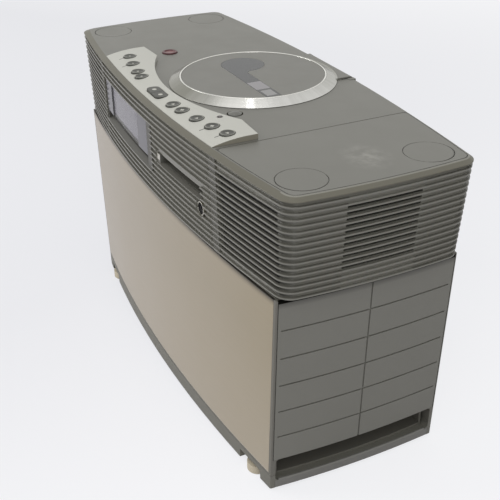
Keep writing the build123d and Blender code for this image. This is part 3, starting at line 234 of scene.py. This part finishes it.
def mottle(shade, waves, detail=3.0):
    """Soft noise between 0 and 1, so many waves to the metre."""
    return shade.node("ShaderNodeTexNoise", {"Vector": own_place(shade), "Scale": waves,
                                             "Detail": detail})


def wander(shade):
    """Wide clouds and fine grain together, between 0 and 1."""
    clouds, grains = mottle(shade, cloud_waves), mottle(shade, grain_waves, 1.0)
    return clouds * cloud_share + grains * (1.0 - cloud_share)


def scaled(colour, share):
    """A colour made darker or lighter."""
    return [part * share for part in colour]


def grade(shade, colour, depth):
    """A colour that wanders a little, by this share to either side."""
    return wander(shade).mix(scaled(colour, 1 - depth), scaled(colour, 1 + depth))


def satin(shade, surface, least, spread=gloss_spread, waves=gloss_waves):
    """Roughness that wanders upwards from its least value."""
    (mottle(shade, waves) * spread + least).feed(surface, "Roughness")


def grain(shade, surface, bump, edge, height=None):
    """Fine grain in the surface, and edges rounded by this radius in millimetres."""
    rounded = shade.node("ShaderNodeBevel", {"Radius": edge * mm}, samples=6)
    height = height or mottle(shade, grain_waves, 1.0)
    shade.node("ShaderNodeBump", {"Strength": bump, "Distance": grain_height, "Height": height,
                                  "Normal": rounded}).feed(surface, "Normal")


def moulded(name, colour, roughness, bump=0.10, metallic=0.0, edge=0.4, depth=0.07):
    """A moulded or painted piece in one colour."""
    material, shade, surface = open_finish(name, Metallic=metallic)
    grade(shade, colour, depth).feed(surface, "Base Color")
    satin(shade, surface, roughness - gloss_spread / 2)
    grain(shade, surface, bump, edge)
    return material


def dress(material, *nodes):
    """Gives these nodes of the frame their finish."""
    for name in nodes:
        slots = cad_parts[name].data.materials
        slots.clear()
        slots.append(material)


def pattern(name, **sizes):
    """A Geometry Nodes tree with named inputs for its sizes, and their sockets by name."""
    tree = bpy.data.node_groups.new(name, "GeometryNodeTree")
    tree.interface.new_socket("Geometry", in_out="OUTPUT", socket_type="NodeSocketGeometry")
    for label, value in sizes.items():
        kind = "NodeSocketInt" if isinstance(value, int) else "NodeSocketFloat"
        tree.interface.new_socket(label, in_out="INPUT", socket_type=kind).default_value = value
    entry = tree.nodes.new("NodeGroupInput")
    return Shade(tree), {label: Shade(tree, entry.outputs[label]) for label in sizes}


def end_pattern(works, geometry, material):
    """Makes the pattern real and gives it its finish."""
    real = works.node("GeometryNodeRealizeInstances", {0: geometry})
    dressed = works.node("GeometryNodeSetMaterial", {0: real, "Material": material})
    dressed.feed(works.tree.nodes.new("NodeGroupOutput"), 0)


def from_pattern(name, works, place, body, slot, **sizes):
    """A plain mesh made by a pattern with these sizes, put at a place on a body."""
    piece = bpy.data.objects.new(name, bpy.data.meshes.new(name))
    bpy.context.collection.objects.link(piece)
    modifier = piece.modifiers.new("pattern", "NODES")
    modifier.node_group = works.tree
    for item in works.tree.interface.items_tree:
        if item.in_out == "INPUT" and item.name in sizes:
            modifier[item.identifier] = sizes[item.name]
    ready = piece.evaluated_get(bpy.context.evaluated_depsgraph_get())
    mesh = bpy.data.meshes.new_from_object(ready)
    mesh.transform(Matrix.Translation(place))
    piece.modifiers.clear()
    piece.data = mesh
    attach(piece, body)


olive = (0.168, 0.165, 0.143)
base_finish = moulded("base_finish", olive, 0.45)
dress(base_finish, "base_tray")
foot_finish = moulded("foot_finish", (0.60, 0.54, 0.42), 0.6, bump=0.2)
dress(foot_finish, "feet")

screw_finish = moulded("screw_finish", (0.42, 0.42, 0.41), 0.35, metallic=1.0, edge=0.1)
screw_reach_x, screw_reach_y = 300 * mm, 96 * mm
slot_share = 1.2
works, size = pattern("screw_pattern", Count=4, Head=3.0 * mm, Depth=0.7 * mm, Slot=0.8 * mm)
head = works.node("GeometryNodeMeshCylinder", {"Vertices": 24, "Radius": size["Head"],
                                               "Depth": size["Depth"]})
arm_length = size["Head"] * slot_share
bar = works.node("ShaderNodeCombineXYZ", {0: arm_length, 1: size["Slot"], 2: size["Depth"]})
cross_bar = works.node("ShaderNodeCombineXYZ", {0: size["Slot"], 1: arm_length, 2: size["Depth"]})
lowered = works.node("ShaderNodeCombineXYZ", {2: size["Depth"] * -0.5})
for arm in (bar, cross_bar):
    blade = works.node("GeometryNodeMeshCube", {"Size": arm})
    blade = works.node("GeometryNodeTransform", {0: blade, "Translation": lowered})
    head = works.node("GeometryNodeMeshBoolean", {"Mesh 1": head, "Mesh 2": blade},
                      operation="DIFFERENCE", solver="EXACT")
posts = works.node("GeometryNodeMeshGrid", {"Size X": screw_reach_x, "Size Y": screw_reach_y,
                                            "Vertices X": size["Count"], "Vertices Y": 2})
end_pattern(works, works.node("GeometryNodeInstanceOnPoints", {0: posts, "Instance": head}),
            screw_finish)
tray_underside = 8.5 * mm
head_proud = 0.35 * mm
from_pattern("base_screws", works, Vector((0, 0, tray_underside - head_proud)), "cabinet",
             "steel", Count=4)

# Cabinet: a leaning shell moulded in olive plastic, closed by the head's floor. The duct for the
# bass runs through it from side to side, and the bass speaker fires down into the duct.
shell_finish = moulded("shell_finish", (0.150, 0.145, 0.126), 0.42)
dress(shell_finish, "cabinet_shell", "head_floor", "bass_duct")
black_finish = moulded("black_finish", (0.018, 0.018, 0.018), 0.5)
dress(black_finish, "mains_inlet")
pocket_finish = moulded("pocket_finish", (0.13, 0.127, 0.11), 0.55)
dress(pocket_finish, "card_pocket")
basket_finish = moulded("basket_finish", (0.02, 0.02, 0.02), 0.5)
dress(basket_finish, "speaker_baskets", "woofer_basket")
cone_finish = moulded("cone_finish", (0.03, 0.03, 0.032), 0.85, bump=0.6)
dress(cone_finish, "speaker_cones", "woofer_cone")

# Side panels: olive plastic, a shade cooler than the shell, with grooves moulded into the face.
# Under the head their tops carry a painted shade that darkens upwards into a thin painted black
# shadow. Lips of the same plastic lie under the two ports.
side_olive = (0.190, 0.188, 0.167)
side_shade_dark = (0.035, 0.034, 0.028)
gap_shadow_black = (0.006, 0.006, 0.005)
shade_reach = 7.5 * mm
gap_seen = 2.5 * mm
side_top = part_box("side_inserts")[1].z


def ramp(shade, value, start, width):
    """0 up to the start, and 1 past this width beyond it."""
    return shade.math("MULTIPLY", value - start, 1.0 / width, clamp=True)


side_finish, shade, surface = open_finish("side_finish")
x, y, z = spot(shade)
# Painted shade: the tops of the panels darken upwards under the head.
side_shade_ramp = ramp(shade, z, side_top - shade_reach, shade_reach)
side_shade_ramp.mix(grade(shade, side_olive, 0.06), side_shade_dark).feed(surface, "Base Color")
satin(shade, surface, 0.34)
grain(shade, surface, 0.10, 0.5)
# Painted shadow: a thin band at the very top takes no light and shows black.
in_gap_shadow = z > side_top - gap_seen
unlit = shade.node("ShaderNodeBsdfDiffuse", {"Color": (*gap_shadow_black, 1.0)})
shade.node("ShaderNodeMixShader", {0: in_gap_shadow, 1: Shade(shade.tree, surface.outputs[0]), 2: unlit}
           ).feed(shade.tree.nodes["Material Output"], "Surface")
dress(side_finish, "side_inserts")
lip_finish = moulded("lip_finish", (0.20, 0.197, 0.185), 0.36, edge=0.6)
dress(lip_finish, "port_lips")

# Front panel: one bowed sheet of aluminium, anodised in a warm champagne tone, with a very fine
# grain drawn sideways. Its cut edge at the bottom is bright. Painted light makes it lighter at its
# left and towards its bottom, and painted shade darkens its top under the head.
champagne = (0.415, 0.370, 0.288)
champagne_lit_left = (0.490, 0.462, 0.425)
champagne_lit_low = (0.64, 0.60, 0.54)
grain_tone = (0.42, 0.38, 0.31)
cut_tone = (0.62, 0.58, 0.50)
head_shadow_tone = (0.05, 0.046, 0.038)
drawn_across, drawn_down = 30.0, 4000.0
drawn_share = 0.5
panel_cloud_waves = 9.0
lit_low_share, lit_low_start = 0.44, 0.10
drawn_rough, drawn_spread = 0.34, 0.10
cut_height = 0.5 * mm
shaded_height = 6.5 * mm
champagne_finish, shade, surface = open_finish("champagne_finish", Metallic=0.35)
panel_low, panel_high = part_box("front_panel")
x, y, z = spot(shade)
drawn = shade.node("ShaderNodeTexNoise", {
    "Vector": shade.node("ShaderNodeCombineXYZ", {
        0: x * drawn_across, 1: y * drawn_across, 2: z * drawn_down}),
    "Scale": 1.0, "Detail": 2.0})
clouds = mottle(shade, panel_cloud_waves)
sideways = (x - panel_low.x) / (panel_high.x - panel_low.x)
down = (panel_high.z - z) / (panel_high.z - panel_low.z)
# Painted light: the panel is lighter at its left and lighter towards its bottom.
tone = sideways.mix(champagne_lit_left, champagne)
tone = (down * lit_low_share - lit_low_start).mix(tone, champagne_lit_low)
tone = shade.node("ShaderNodeMix", {0: drawn * drawn_share + clouds * (1.0 - drawn_share),
                                    mix_low: tone, mix_high: (*grain_tone, 1.0)},
                  output=mix_out, data_type="RGBA", blend_type="SOFT_LIGHT")
tone = (z < panel_low.z + cut_height).mix(tone, cut_tone)
# Painted shade: the top darkens under the head.
shaded = ramp(shade, z, panel_high.z - shaded_height, shaded_height)
(shaded * shaded).mix(tone, head_shadow_tone).feed(surface, "Base Color")
(drawn * drawn_spread + drawn_rough).feed(surface, "Roughness")
grain(shade, surface, 0.05, 0.3, drawn)
dress(champagne_finish, "front_panel")

# Head mouldings: sixteen thin fins all round in dark olive plastic, a little glossy and paler at
# random from handling, made as two end caps, a front and a back. The fins' noses carry a painted
# highlight. The walls between the fins, and the fins' tops in the vents, are painted lighter
# against their shade; the walls are painted darker as shade at the pillar and beside the speaker
# windows, behind which lies black knitted cloth.
rib_olive = (0.158, 0.154, 0.138)
rib_nose_highlight = (0.180, 0.177, 0.154)
rib_shelf = (0.155, 0.152, 0.132)
rib_floor_lit = (0.205, 0.202, 0.176)
vent_shelf_lit = (0.24, 0.237, 0.21)
pillar_shade = (0.075, 0.073, 0.062)
window_shade = (0.022, 0.022, 0.020)
handled = (0.30, 0.29, 0.25)
handled_share = 0.12
rib_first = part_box("end_cap_right")[0].z + 2.0 * mm
rib_pitch = 4.947 * mm
rib_t = 1.3 * mm
rib_edge = 0.06 * mm
vent_half = 30.5 * mm
vent_from = 200 * mm
pillar_from, pillar_to = 127.0 * mm, 136.3 * mm
window_end = (214.0 * mm, -74.0 * mm)
window_fade = 15.0 * mm


def reach(shade, u, v, centre_u, centre_v):
    """The distance in metres from a centre, over the two coordinates u and v."""
    du, dv = u - centre_u, v - centre_v
    return shade.math("SQRT", du * du + dv * dv)


rib_finish, shade, surface = open_finish("rib_finish", Specular_IOR_Level=0.7)
x, y, z = spot(shade)
step = shade.math("FLOORED_MODULO", z - rib_first, rib_pitch)
nose = step < rib_t - rib_edge
floor_part = step > rib_t + rib_edge
aside = shade.math("ABSOLUTE", x)
in_vent = (aside > vent_from) * (shade.math("ABSOLUTE", y) < vent_half)
in_pillar = (aside > pillar_from) * (aside < pillar_to) * floor_part
# Painted light and shade: the walls between the fins and the fins' tops in the vents are lighter
# against their shade, and the walls at the pillar are darker as shade.
tone = floor_part.mix(in_vent.mix(rib_shelf, vent_shelf_lit), rib_floor_lit)
tone = in_pillar.mix(tone, pillar_shade)
# Painted shade: the walls between the fins darken beside the speaker windows.
beyond = reach(shade, aside, y, *window_end) / window_fade
near_window = shade.math("SUBTRACT", 1.0, beyond, clamp=True) * floor_part
# Painted highlight: the fins' noses are lighter.
tone = nose.mix(near_window.mix(tone, window_shade), rib_nose_highlight)
(wander(shade) * handled_share).mix(tone, handled).feed(surface, "Base Color")
satin(shade, surface, 0.17, spread=0.10)
grain(shade, surface, 0.05, 0.45)
dress(rib_finish, "end_cap_left", "end_cap_right", "front_fascia", "rear_fascia")

stitch_waves = 900.0
cloth_finish, shade, surface = open_finish("cloth_finish", Roughness=0.95)
weave = shade.node("ShaderNodeTexVoronoi", {"Vector": own_place(shade), "Scale": stitch_waves})
weave.mix((0.008, 0.008, 0.008), (0.035, 0.035, 0.034)).feed(surface, "Base Color")
grain(shade, surface, 0.8, 0.1, weave)
dress(cloth_finish, "grille_cloths")

# Display: a lavender liquid crystal face behind a flush window, in a dark frame whose sill
# slopes inwards. The window is printed grey where no face lies behind it, and a hair thinner than
# its solid, so that it stands clear of the face.
frame_finish = moulded("frame_finish", (0.090, 0.088, 0.078), 0.42)
dress(frame_finish, "display_frame")
face_left = (0.425, 0.42, 0.465)
face_right = (0.355, 0.351, 0.398)
face_edge = (0.16, 0.16, 0.17)
face_edge_w = 1.2 * mm
face_finish, shade, surface = open_finish("face_finish", Roughness=0.3)
face_low, face_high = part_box("display_module")
x, y, z = spot(shade)
fade = (x - face_low.x) / (face_high.x - face_low.x)
border = shade.math("MAXIMUM", z < face_low.z + face_edge_w, z > face_high.z - face_edge_w)
border.mix(fade.mix(face_left, face_right), face_edge).feed(surface, "Base Color")
dress(face_finish, "display_module")

print_lap = 2.2 * mm
print_grey = (0.132, 0.132, 0.152)
window_tint = (0.24, 0.24, 0.255)
window_clear = 0.86
window_finish, shade, surface = open_finish("window_finish", Roughness=0.18)
x, y, z = spot(shade)
clear_part = (x > face_low.x + print_lap) * (x < face_high.x - print_lap)
clear_part.mix(grade(shade, print_grey, 0.04), window_tint).feed(surface, "Base Color")
(1.0 - clear_part * window_clear).feed(surface, "Alpha")
pane_gap = 0.3 * mm
weld = 0.01 * mm
facing_back = 0.9
form = bmesh.new()
form.from_mesh(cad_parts["display_window"].data)
bmesh.ops.remove_doubles(form, verts=form.verts, dist=weld)
behind = {corner for face in form.faces if face.normal.y > facing_back
          for corner in face.verts}
for corner in behind:
    corner.co.y -= pane_gap
pane_mesh = bpy.data.meshes.new("display_pane")
form.to_mesh(pane_mesh)
form.free()
pane_mesh.materials.clear()
pane_mesh.materials.append(window_finish)
pane = bpy.data.objects.new("display_pane", pane_mesh)
bpy.context.collection.objects.link(pane)
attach(pane, "cabinet")
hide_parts("display_window")

# Card slot: a sill in line with the fins, with a painted highlight on its cheek, and the headphone
# socket, a nickel collar round a black bore.
lip_low, lip_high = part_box("slot_lip")
cheek_highlight = (0.56, 0.55, 0.50)
cheek_w, cheek_from, cheek_to = 5.4 * mm, 3.6 * mm, 0.6 * mm
slot_finish, shade, surface = open_finish("slot_finish", Roughness=0.36)
x, y, z = spot(shade)
# Painted highlight: a pale patch on the cheek at the left end of the slot.
cheek_high = (z > lip_low.z + cheek_from) * (z < lip_high.z - cheek_to)
cheek = (x < lip_low.x + cheek_w) * cheek_high
cheek.mix(grade(shade, rib_olive, 0.05), cheek_highlight).feed(surface, "Base Color")
grain(shade, surface, 0.05, 0.5)
dress(slot_finish, "slot_lip")


def middle(name):
    """The middle of a node's box."""
    low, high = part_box(name)
    return (low + high) / 2


jack = middle("headphone_socket")
jack_bore_r = 4.85 * mm
bore_black = (0.015, 0.015, 0.015)
nickel = (0.55, 0.53, 0.46)
jack_finish, shade, surface = open_finish("jack_finish", Roughness=0.25)
x, y, z = spot(shade)
collar = reach(shade, x, z, jack.x, jack.z) > jack_bore_r
collar.mix(bore_black, nickel).feed(surface, "Base Color")
collar.feed(surface, "Metallic")
grain(shade, surface, 0.0, 0.3)
dress(jack_finish, "headphone_socket")

# Top cover with its let-in end panel and round pads, in satin metallic paint. The sloping rim is
# bare plastic, browner than the paint, with a painted highlight along its top edge at the right
# end. The edges of the panel and the pads carry painted shade as thin dark lines at their joints,
# and a patch of scuffs lies on the end panel.
top_grey = (0.201, 0.199, 0.181)
rim_brown = (0.150, 0.143, 0.113)
rim_edge_highlight = (0.27, 0.265, 0.235)
scuff_pale = (0.46, 0.45, 0.42)
joint_shade_dark = (0.075, 0.073, 0.064)
joint_shade_width = 0.40 * mm
paint_waves, flake_waves = 16.0, 2200.0
flake_share = 0.25
paint_depth = 0.06
scuff_x, scuff_y, scuff_r = 190 * mm, 8 * mm, 20 * mm
scuff_squeeze = 0.75
scuff_waves, scuff_contrast, scuff_cut = 130.0, 1.9, 0.72
scuff_fade, scuff_share = 1.6, 0.55
rim_drop = 0.15 * mm
highlight_from, highlight_top, highlight_foot = 214 * mm, 0.02 * mm, 0.42 * mm
pads_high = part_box("corner_pads")[1]
top_z = pads_high.z
pad_r = 18.7 * mm
pad_x, pad_y = pads_high.x - pad_r, pads_high.y - pad_r
end_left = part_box("top_end_panel")[0].x
front_reach, front_bow = 88.29 * mm, 0.3747
back_reach, back_bow = 86.46 * mm, 0.2783
end_reach, end_bow = 227.25 * mm, 0.7436
end_corner = 5.0 * mm


def rounded_inset(shade, from_long, from_short, corner):
    """The distance from a rounded outline, from the distances to its long and short sides."""
    past_long = shade.math("MAXIMUM", corner - from_long, 0.0)
    past_short = shade.math("MAXIMUM", corner - from_short, 0.0)
    return corner - shade.math("SQRT", past_long * past_long + past_short * past_short)


def painted(name, colour, rim=False, scuffed=False, outlined=None):
    """Satin metallic paint with fine flakes, over a rim of bare plastic and worn by a scuff."""
    material, shade, surface = open_finish(name, Metallic=0.25)
    x, y, z = spot(shade)
    flakes = shade.node("ShaderNodeTexVoronoi", {"Vector": own_place(shade), "Scale": flake_waves})
    blend = mottle(shade, paint_waves) * (1.0 - flake_share) + flakes * flake_share
    tone = blend.mix(scaled(colour, 1 - paint_depth), scaled(colour, 1 + paint_depth))
    if scuffed:
        away = reach(shade, x * scuff_squeeze, y, scuff_x * scuff_squeeze, scuff_y)
        streaks = mottle(shade, scuff_waves, 6.0) * scuff_contrast
        streaks = shade.math("SUBTRACT", streaks, scuff_cut, clamp=True)
        scuff = shade.math("MULTIPLY", (1.0 - away / scuff_r) * scuff_fade, streaks, clamp=True)
        tone = (scuff * scuff_share).mix(tone, scuff_pale)
    if outlined:
        # Painted shade: thin dark lines along the joints of the panel and the pads.
        tone = (outlined(shade, x, y) < joint_shade_width).mix(tone, joint_shade_dark)
    if rim:
        tone = (z < top_z - rim_drop).mix(tone, rim_brown)
        # Painted highlight: a pale line along the top edge of the rim at the right end.
        edge_highlight = (x > highlight_from) * (z < top_z - highlight_top) * (z > top_z - highlight_foot)
        tone = edge_highlight.mix(tone, rim_edge_highlight)
    tone.feed(surface, "Base Color")
    satin(shade, surface, 0.32, waves=40.0)
    grain(shade, surface, 0.05, 0.5)
    return material


def end_outline(shade, x, y):
    """The distance from the outline of the end panel, which has three bowed sides."""
    front = y + front_reach - x * x * front_bow
    back = back_reach - y - x * x * back_bow
    outer = end_reach - x - y * y * end_bow
    return rounded_inset(shade, shade.math("MINIMUM", front, back),
                         shade.math("MINIMUM", outer, x - end_left), end_corner)


def pad_outline(shade, x, y):
    """The distance from the edge of the nearest of the four pads."""
    aside, away = shade.math("ABSOLUTE", x), shade.math("ABSOLUTE", y)
    return pad_r - reach(shade, aside, away, pad_x, pad_y)


dress(painted("top_finish", top_grey, rim=True), "top_cover")
dress(painted("end_finish", top_grey, scuffed=True, outlined=end_outline), "top_end_panel")
dress(painted("pad_finish", scaled(top_grey, 0.98), outlined=pad_outline), "corner_pads")

# Control panel: a crowned wedge in pale satin plastic, printed with short leader lines beside
# four of its keys. Its cut end is browner.
pale = (0.588, 0.590, 0.548)
printed = (0.10, 0.10, 0.095)
cut_brown = (0.27, 0.255, 0.21)
cut_skin = 0.1 * mm
leader_keys = ("key_1", "key_2", "key_8", "key_9")
leader_from, leader_to, leader_half = 6.3 * mm, 10.7 * mm, 0.5 * mm
panel_finish, shade, surface = open_finish("panel_finish", Roughness=0.42)
x, y, z = spot(shade)
cut_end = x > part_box("control_panel")[1].x - cut_skin
tone = cut_end.mix(grade(shade, pale, 0.03), cut_brown)
for name in leader_keys:
    key = middle(name)
    before = key.y - y
    beside = shade.math("ABSOLUTE", x - key.x)
    stroke = (beside < leader_half) * (before > leader_from) * (before < leader_to)
    tone = stroke.mix(tone, printed)
tone.feed(surface, "Base Color")
grain(shade, surface, 0.04, 0.5)
dress(panel_finish, "control_panel")

# Keys: dark grey-green caps with a soft dish, the round ones with a pale hoop on the rim as a
# painted highlight, and each with a pale printed mark of three, four or many corners, over a green
# board that carries their switches.
key_finish = moulded("key_finish", (0.052, 0.054, 0.046), 0.36, bump=0.04, edge=0.35)
# Painted highlight: the pale hoop that lies on the rim of each round key.
rim_highlight_finish = moulded("rim_highlight_finish", (0.27, 0.275, 0.245), 0.28, bump=0.0, edge=0.1)
mark_finish = moulded("mark_finish", (0.62, 0.62, 0.57), 0.5, bump=0.0, edge=0.05)
board_finish = moulded("board_finish", (0.03, 0.10, 0.05), 0.45)
dress(board_finish, "key_board", "main_board")

works, size = pattern("hoop_pattern", Radius=5.5 * mm, Bead=0.32 * mm, Around=40)
ring = works.node("GeometryNodeCurvePrimitiveCircle", {"Resolution": size["Around"],
                                                       "Radius": size["Radius"]})
bead = works.node("GeometryNodeCurvePrimitiveCircle", {"Resolution": 8, "Radius": size["Bead"]})
end_pattern(works, works.node("GeometryNodeCurveToMesh", {0: ring, 1: bead}), rim_highlight_finish)
hoop_works = works
works, size = pattern("mark_pattern", Corners=24, Radius=1.3 * mm, Depth=0.08 * mm)
mark = works.node("GeometryNodeMeshCylinder", {"Vertices": size["Corners"], "Depth": size["Depth"],
                                               "Radius": size["Radius"]})
end_pattern(works, mark, mark_finish)
mark_works = works

key_corners = {"key_1": 24, "key_2": 4, "key_3": 24, "key_4": 24, "key_5": 3, "key_6": 4,
               "key_7": 3, "key_8": 4, "key_9": 3, "square_key_left": 24, "square_key_right": 24}
key_dish = 0.5 * mm
key_rim_r = 5.3 * mm
rim_sunk = 0.12 * mm
mark_lift = 0.12 * mm
mark_r, small_mark_r = 1.9 * mm, 1.0 * mm
for name, corners in key_corners.items():
    dress(key_finish, name)
    centre = middle(name)
    centre.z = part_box(name)[1].z
    square = name.startswith("square")
    floor_of_key = Vector((0, 0, 0.0 if square else mark_lift - key_dish))
    from_pattern(name + "_mark", mark_works, centre + floor_of_key, name, "key_plastic",
                 Corners=corners, Radius=mark_r if square or centre.x > 0 else small_mark_r)
    if not square:
        from_pattern(name + "_rim", hoop_works, centre - Vector((0, 0, rim_sunk)), name,
                     "key_plastic", Radius=key_rim_r)

# Power button: a dished cap, dark red outside with a painted pink highlight in its dish, and the
# dark lens of the sensor. The release button is a grey dome in a dark gap.
power = middle("power_button")
power_dish_r = 4.7 * mm
pink_dish_highlight = (0.27, 0.135, 0.14)
dark_red = (0.085, 0.018, 0.024)
power_finish, shade, surface = open_finish("power_finish", Roughness=0.28)
x, y, z = spot(shade)
# Painted highlight: the dish inside this radius is pink.
outside = reach(shade, x, y, power.x, power.y) > power_dish_r
outside.mix(pink_dish_highlight, dark_red).feed(surface, "Base Color")
grain(shade, surface, 0.03, 0.3)
dress(power_finish, "power_button")
sensor_finish = moulded("sensor_finish", (0.03, 0.02, 0.02), 0.15, bump=0.0)
dress(sensor_finish, "sensor_lens")
release_finish = moulded("release_finish", (0.17, 0.17, 0.158), 0.25, bump=0.03)
dress(release_finish, "release_button")
slider_finish = moulded("slider_finish", (0.02, 0.02, 0.02), 0.5)
dress(slider_finish, "latch_slider", "lid_catch")

# Disc player under the lid: a black well with a fine ring pattern, a hub with three balls that
# hold the disc, a sled with its glass lens, and the motors and rods on a zinc-plated deck.
hub = middle("spindle_hub")
hub_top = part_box("spindle_hub")[1].z
well_black = (0.030, 0.030, 0.032)
well_pitch = 1.0 * mm
well_finish, shade, surface = open_finish("well_finish", Roughness=0.42)
x, y, z = spot(shade)
turns = shade.math("SINE", reach(shade, x, y, hub.x, hub.y) * (math.tau / well_pitch))
grade(shade, well_black, 0.1).feed(surface, "Base Color")
grain(shade, surface, 0.25, 0.4, turns)
dress(well_finish, "disc_well")
hub_finish = moulded("hub_finish", (0.03, 0.03, 0.032), 0.38)
dress(hub_finish, "spindle_hub", "disc_clamp", "deck_dampers")
steel_finish = moulded("steel_finish", (0.45, 0.45, 0.44), 0.32, metallic=1.0, bump=0.2)
dress(steel_finish, "drive_deck", "drive_motors", "guide_rods", "feed_screw", "hinge_pin")
sled_finish = moulded("sled_finish", (0.025, 0.025, 0.027), 0.45)
dress(sled_finish, "laser_sled")

works, size = pattern("ball_pattern", Count=3, Ring=6.2 * mm, Ball=0.9 * mm)
ball_sunk = 1.5 * mm
ball_ring = works.node("GeometryNodeMeshCircle", {"Vertices": size["Count"],
                                                  "Radius": size["Ring"]})
ball = works.node("GeometryNodeMeshUVSphere", {"Segments": 16, "Rings": 10,
                                               "Radius": size["Ball"]})
end_pattern(works, works.node("GeometryNodeInstanceOnPoints", {0: ball_ring, "Instance": ball}),
            steel_finish)
from_pattern("hub_balls", works, Vector((hub.x, hub.y, hub_top - ball_sunk)), "spindle",
             "bright_steel", Count=3)

lens_finish, shade, surface = open_finish("lens_finish", Roughness=0.04, Transmission_Weight=0.6,
                                          Base_Color=(0.10, 0.14, 0.22, 1.0))
lens_x = 26.0 * mm
lens_sunk = 0.5 * mm
lens_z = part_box("laser_sled")[1].z - lens_sunk
works, size = pattern("lens_pattern", Radius=2.4 * mm, Flat=0.35)
dome = works.node("GeometryNodeMeshUVSphere", {"Segments": 24, "Rings": 12,
                                               "Radius": size["Radius"]})
flat = works.node("ShaderNodeCombineXYZ", {0: 1.0, 1: 1.0, 2: size["Flat"]})
end_pattern(works, works.node("GeometryNodeTransform", {0: dome, "Scale": flat}), lens_finish)
from_pattern("laser_lens", works, Vector((lens_x, hub.y, lens_z)), "sled", "display_glass")

# Lid: a slope of spun aluminium, brushed round and round with faint spokes, with a painted
# reflection that makes it brighter at its right. Its hinge tab is painted like the top. A polished
# hoop holds the grey plate, whose printed inlay is smooth.
ring_metal = (0.335, 0.334, 0.300)
ring_reflection_bright = (0.80, 0.80, 0.79)
ring_dull = (0.12, 0.118, 0.095)
lid_r = 73.5 * mm
reflection_from, reflection_width = hub.x + 10 * mm, 58 * mm
rounds_share, spoke_share = 0.15, 0.32
tab_metallic = 0.2
ring_rough, tab_rough = 0.14, 0.38
brush_waves = 9000.0
spoke_waves = 9.0
ring_finish, shade, surface = open_finish("ring_finish")
x, y, z = spot(shade)
from_lid = reach(shade, x, y, hub.x, hub.y)
painted_tab = from_lid > lid_r
rounds = shade.node("ShaderNodeTexNoise", {"W": from_lid * brush_waves, "Scale": 1.0,
                                           "Detail": 3.0}, noise_dimensions="1D")
angle = shade.math("ARCTAN2", y - hub.y, x - hub.x)
spokes = shade.node("ShaderNodeTexNoise", {"W": angle * spoke_waves, "Scale": 1.0,
                                           "Detail": 4.0}, noise_dimensions="1D")
# Painted reflection: the metal grows lighter towards the right.
painted_reflection = ramp(shade, x, reflection_from, reflection_width).mix(ring_metal, ring_reflection_bright)
brushed = (rounds * rounds_share + spokes * spoke_share).mix(painted_reflection, ring_dull)
painted_tab.mix(brushed, top_grey).feed(surface, "Base Color")
(1.0 - painted_tab * (1.0 - tab_metallic)).feed(surface, "Metallic")
(painted_tab * (tab_rough - ring_rough) + ring_rough).feed(surface, "Roughness")
grain(shade, surface, 0.35, 0.3, rounds * (1.0 - painted_tab))
dress(ring_finish, "lid_ring")
trim_finish = moulded("trim_finish", (0.80, 0.80, 0.77), 0.14, bump=0.0, metallic=1.0)
dress(trim_finish, "lid_trim")
plate_finish = moulded("plate_finish", (0.193, 0.191, 0.175), 0.40, bump=0.05, depth=0.05)
dress(plate_finish, "lid_plate")

slate = (0.060, 0.063, 0.070)
blocks_mm = ((20.5, 40.0, -6.0, 6.6, (0.29, 0.28, 0.30)),
             (41.2, 60.0, -6.6, 6.8, (0.062, 0.064, 0.068)),
             (43.4, 57.0, -4.4, 4.8, (0.29, 0.29, 0.295)))
inlay_finish, shade, surface = open_finish("inlay_finish", Roughness=0.26)
x, y, z = spot(shade)
tone = grade(shade, slate, 0.04)
for low_x, high_x, low_y, high_y, colour in blocks_mm:
    block = (x > low_x * mm) * (x < high_x * mm) * (y > low_y * mm) * (y < high_y * mm)
    tone = block.mix(tone, colour)
tone.feed(surface, "Base Color")
dress(inlay_finish, "lid_inlay")
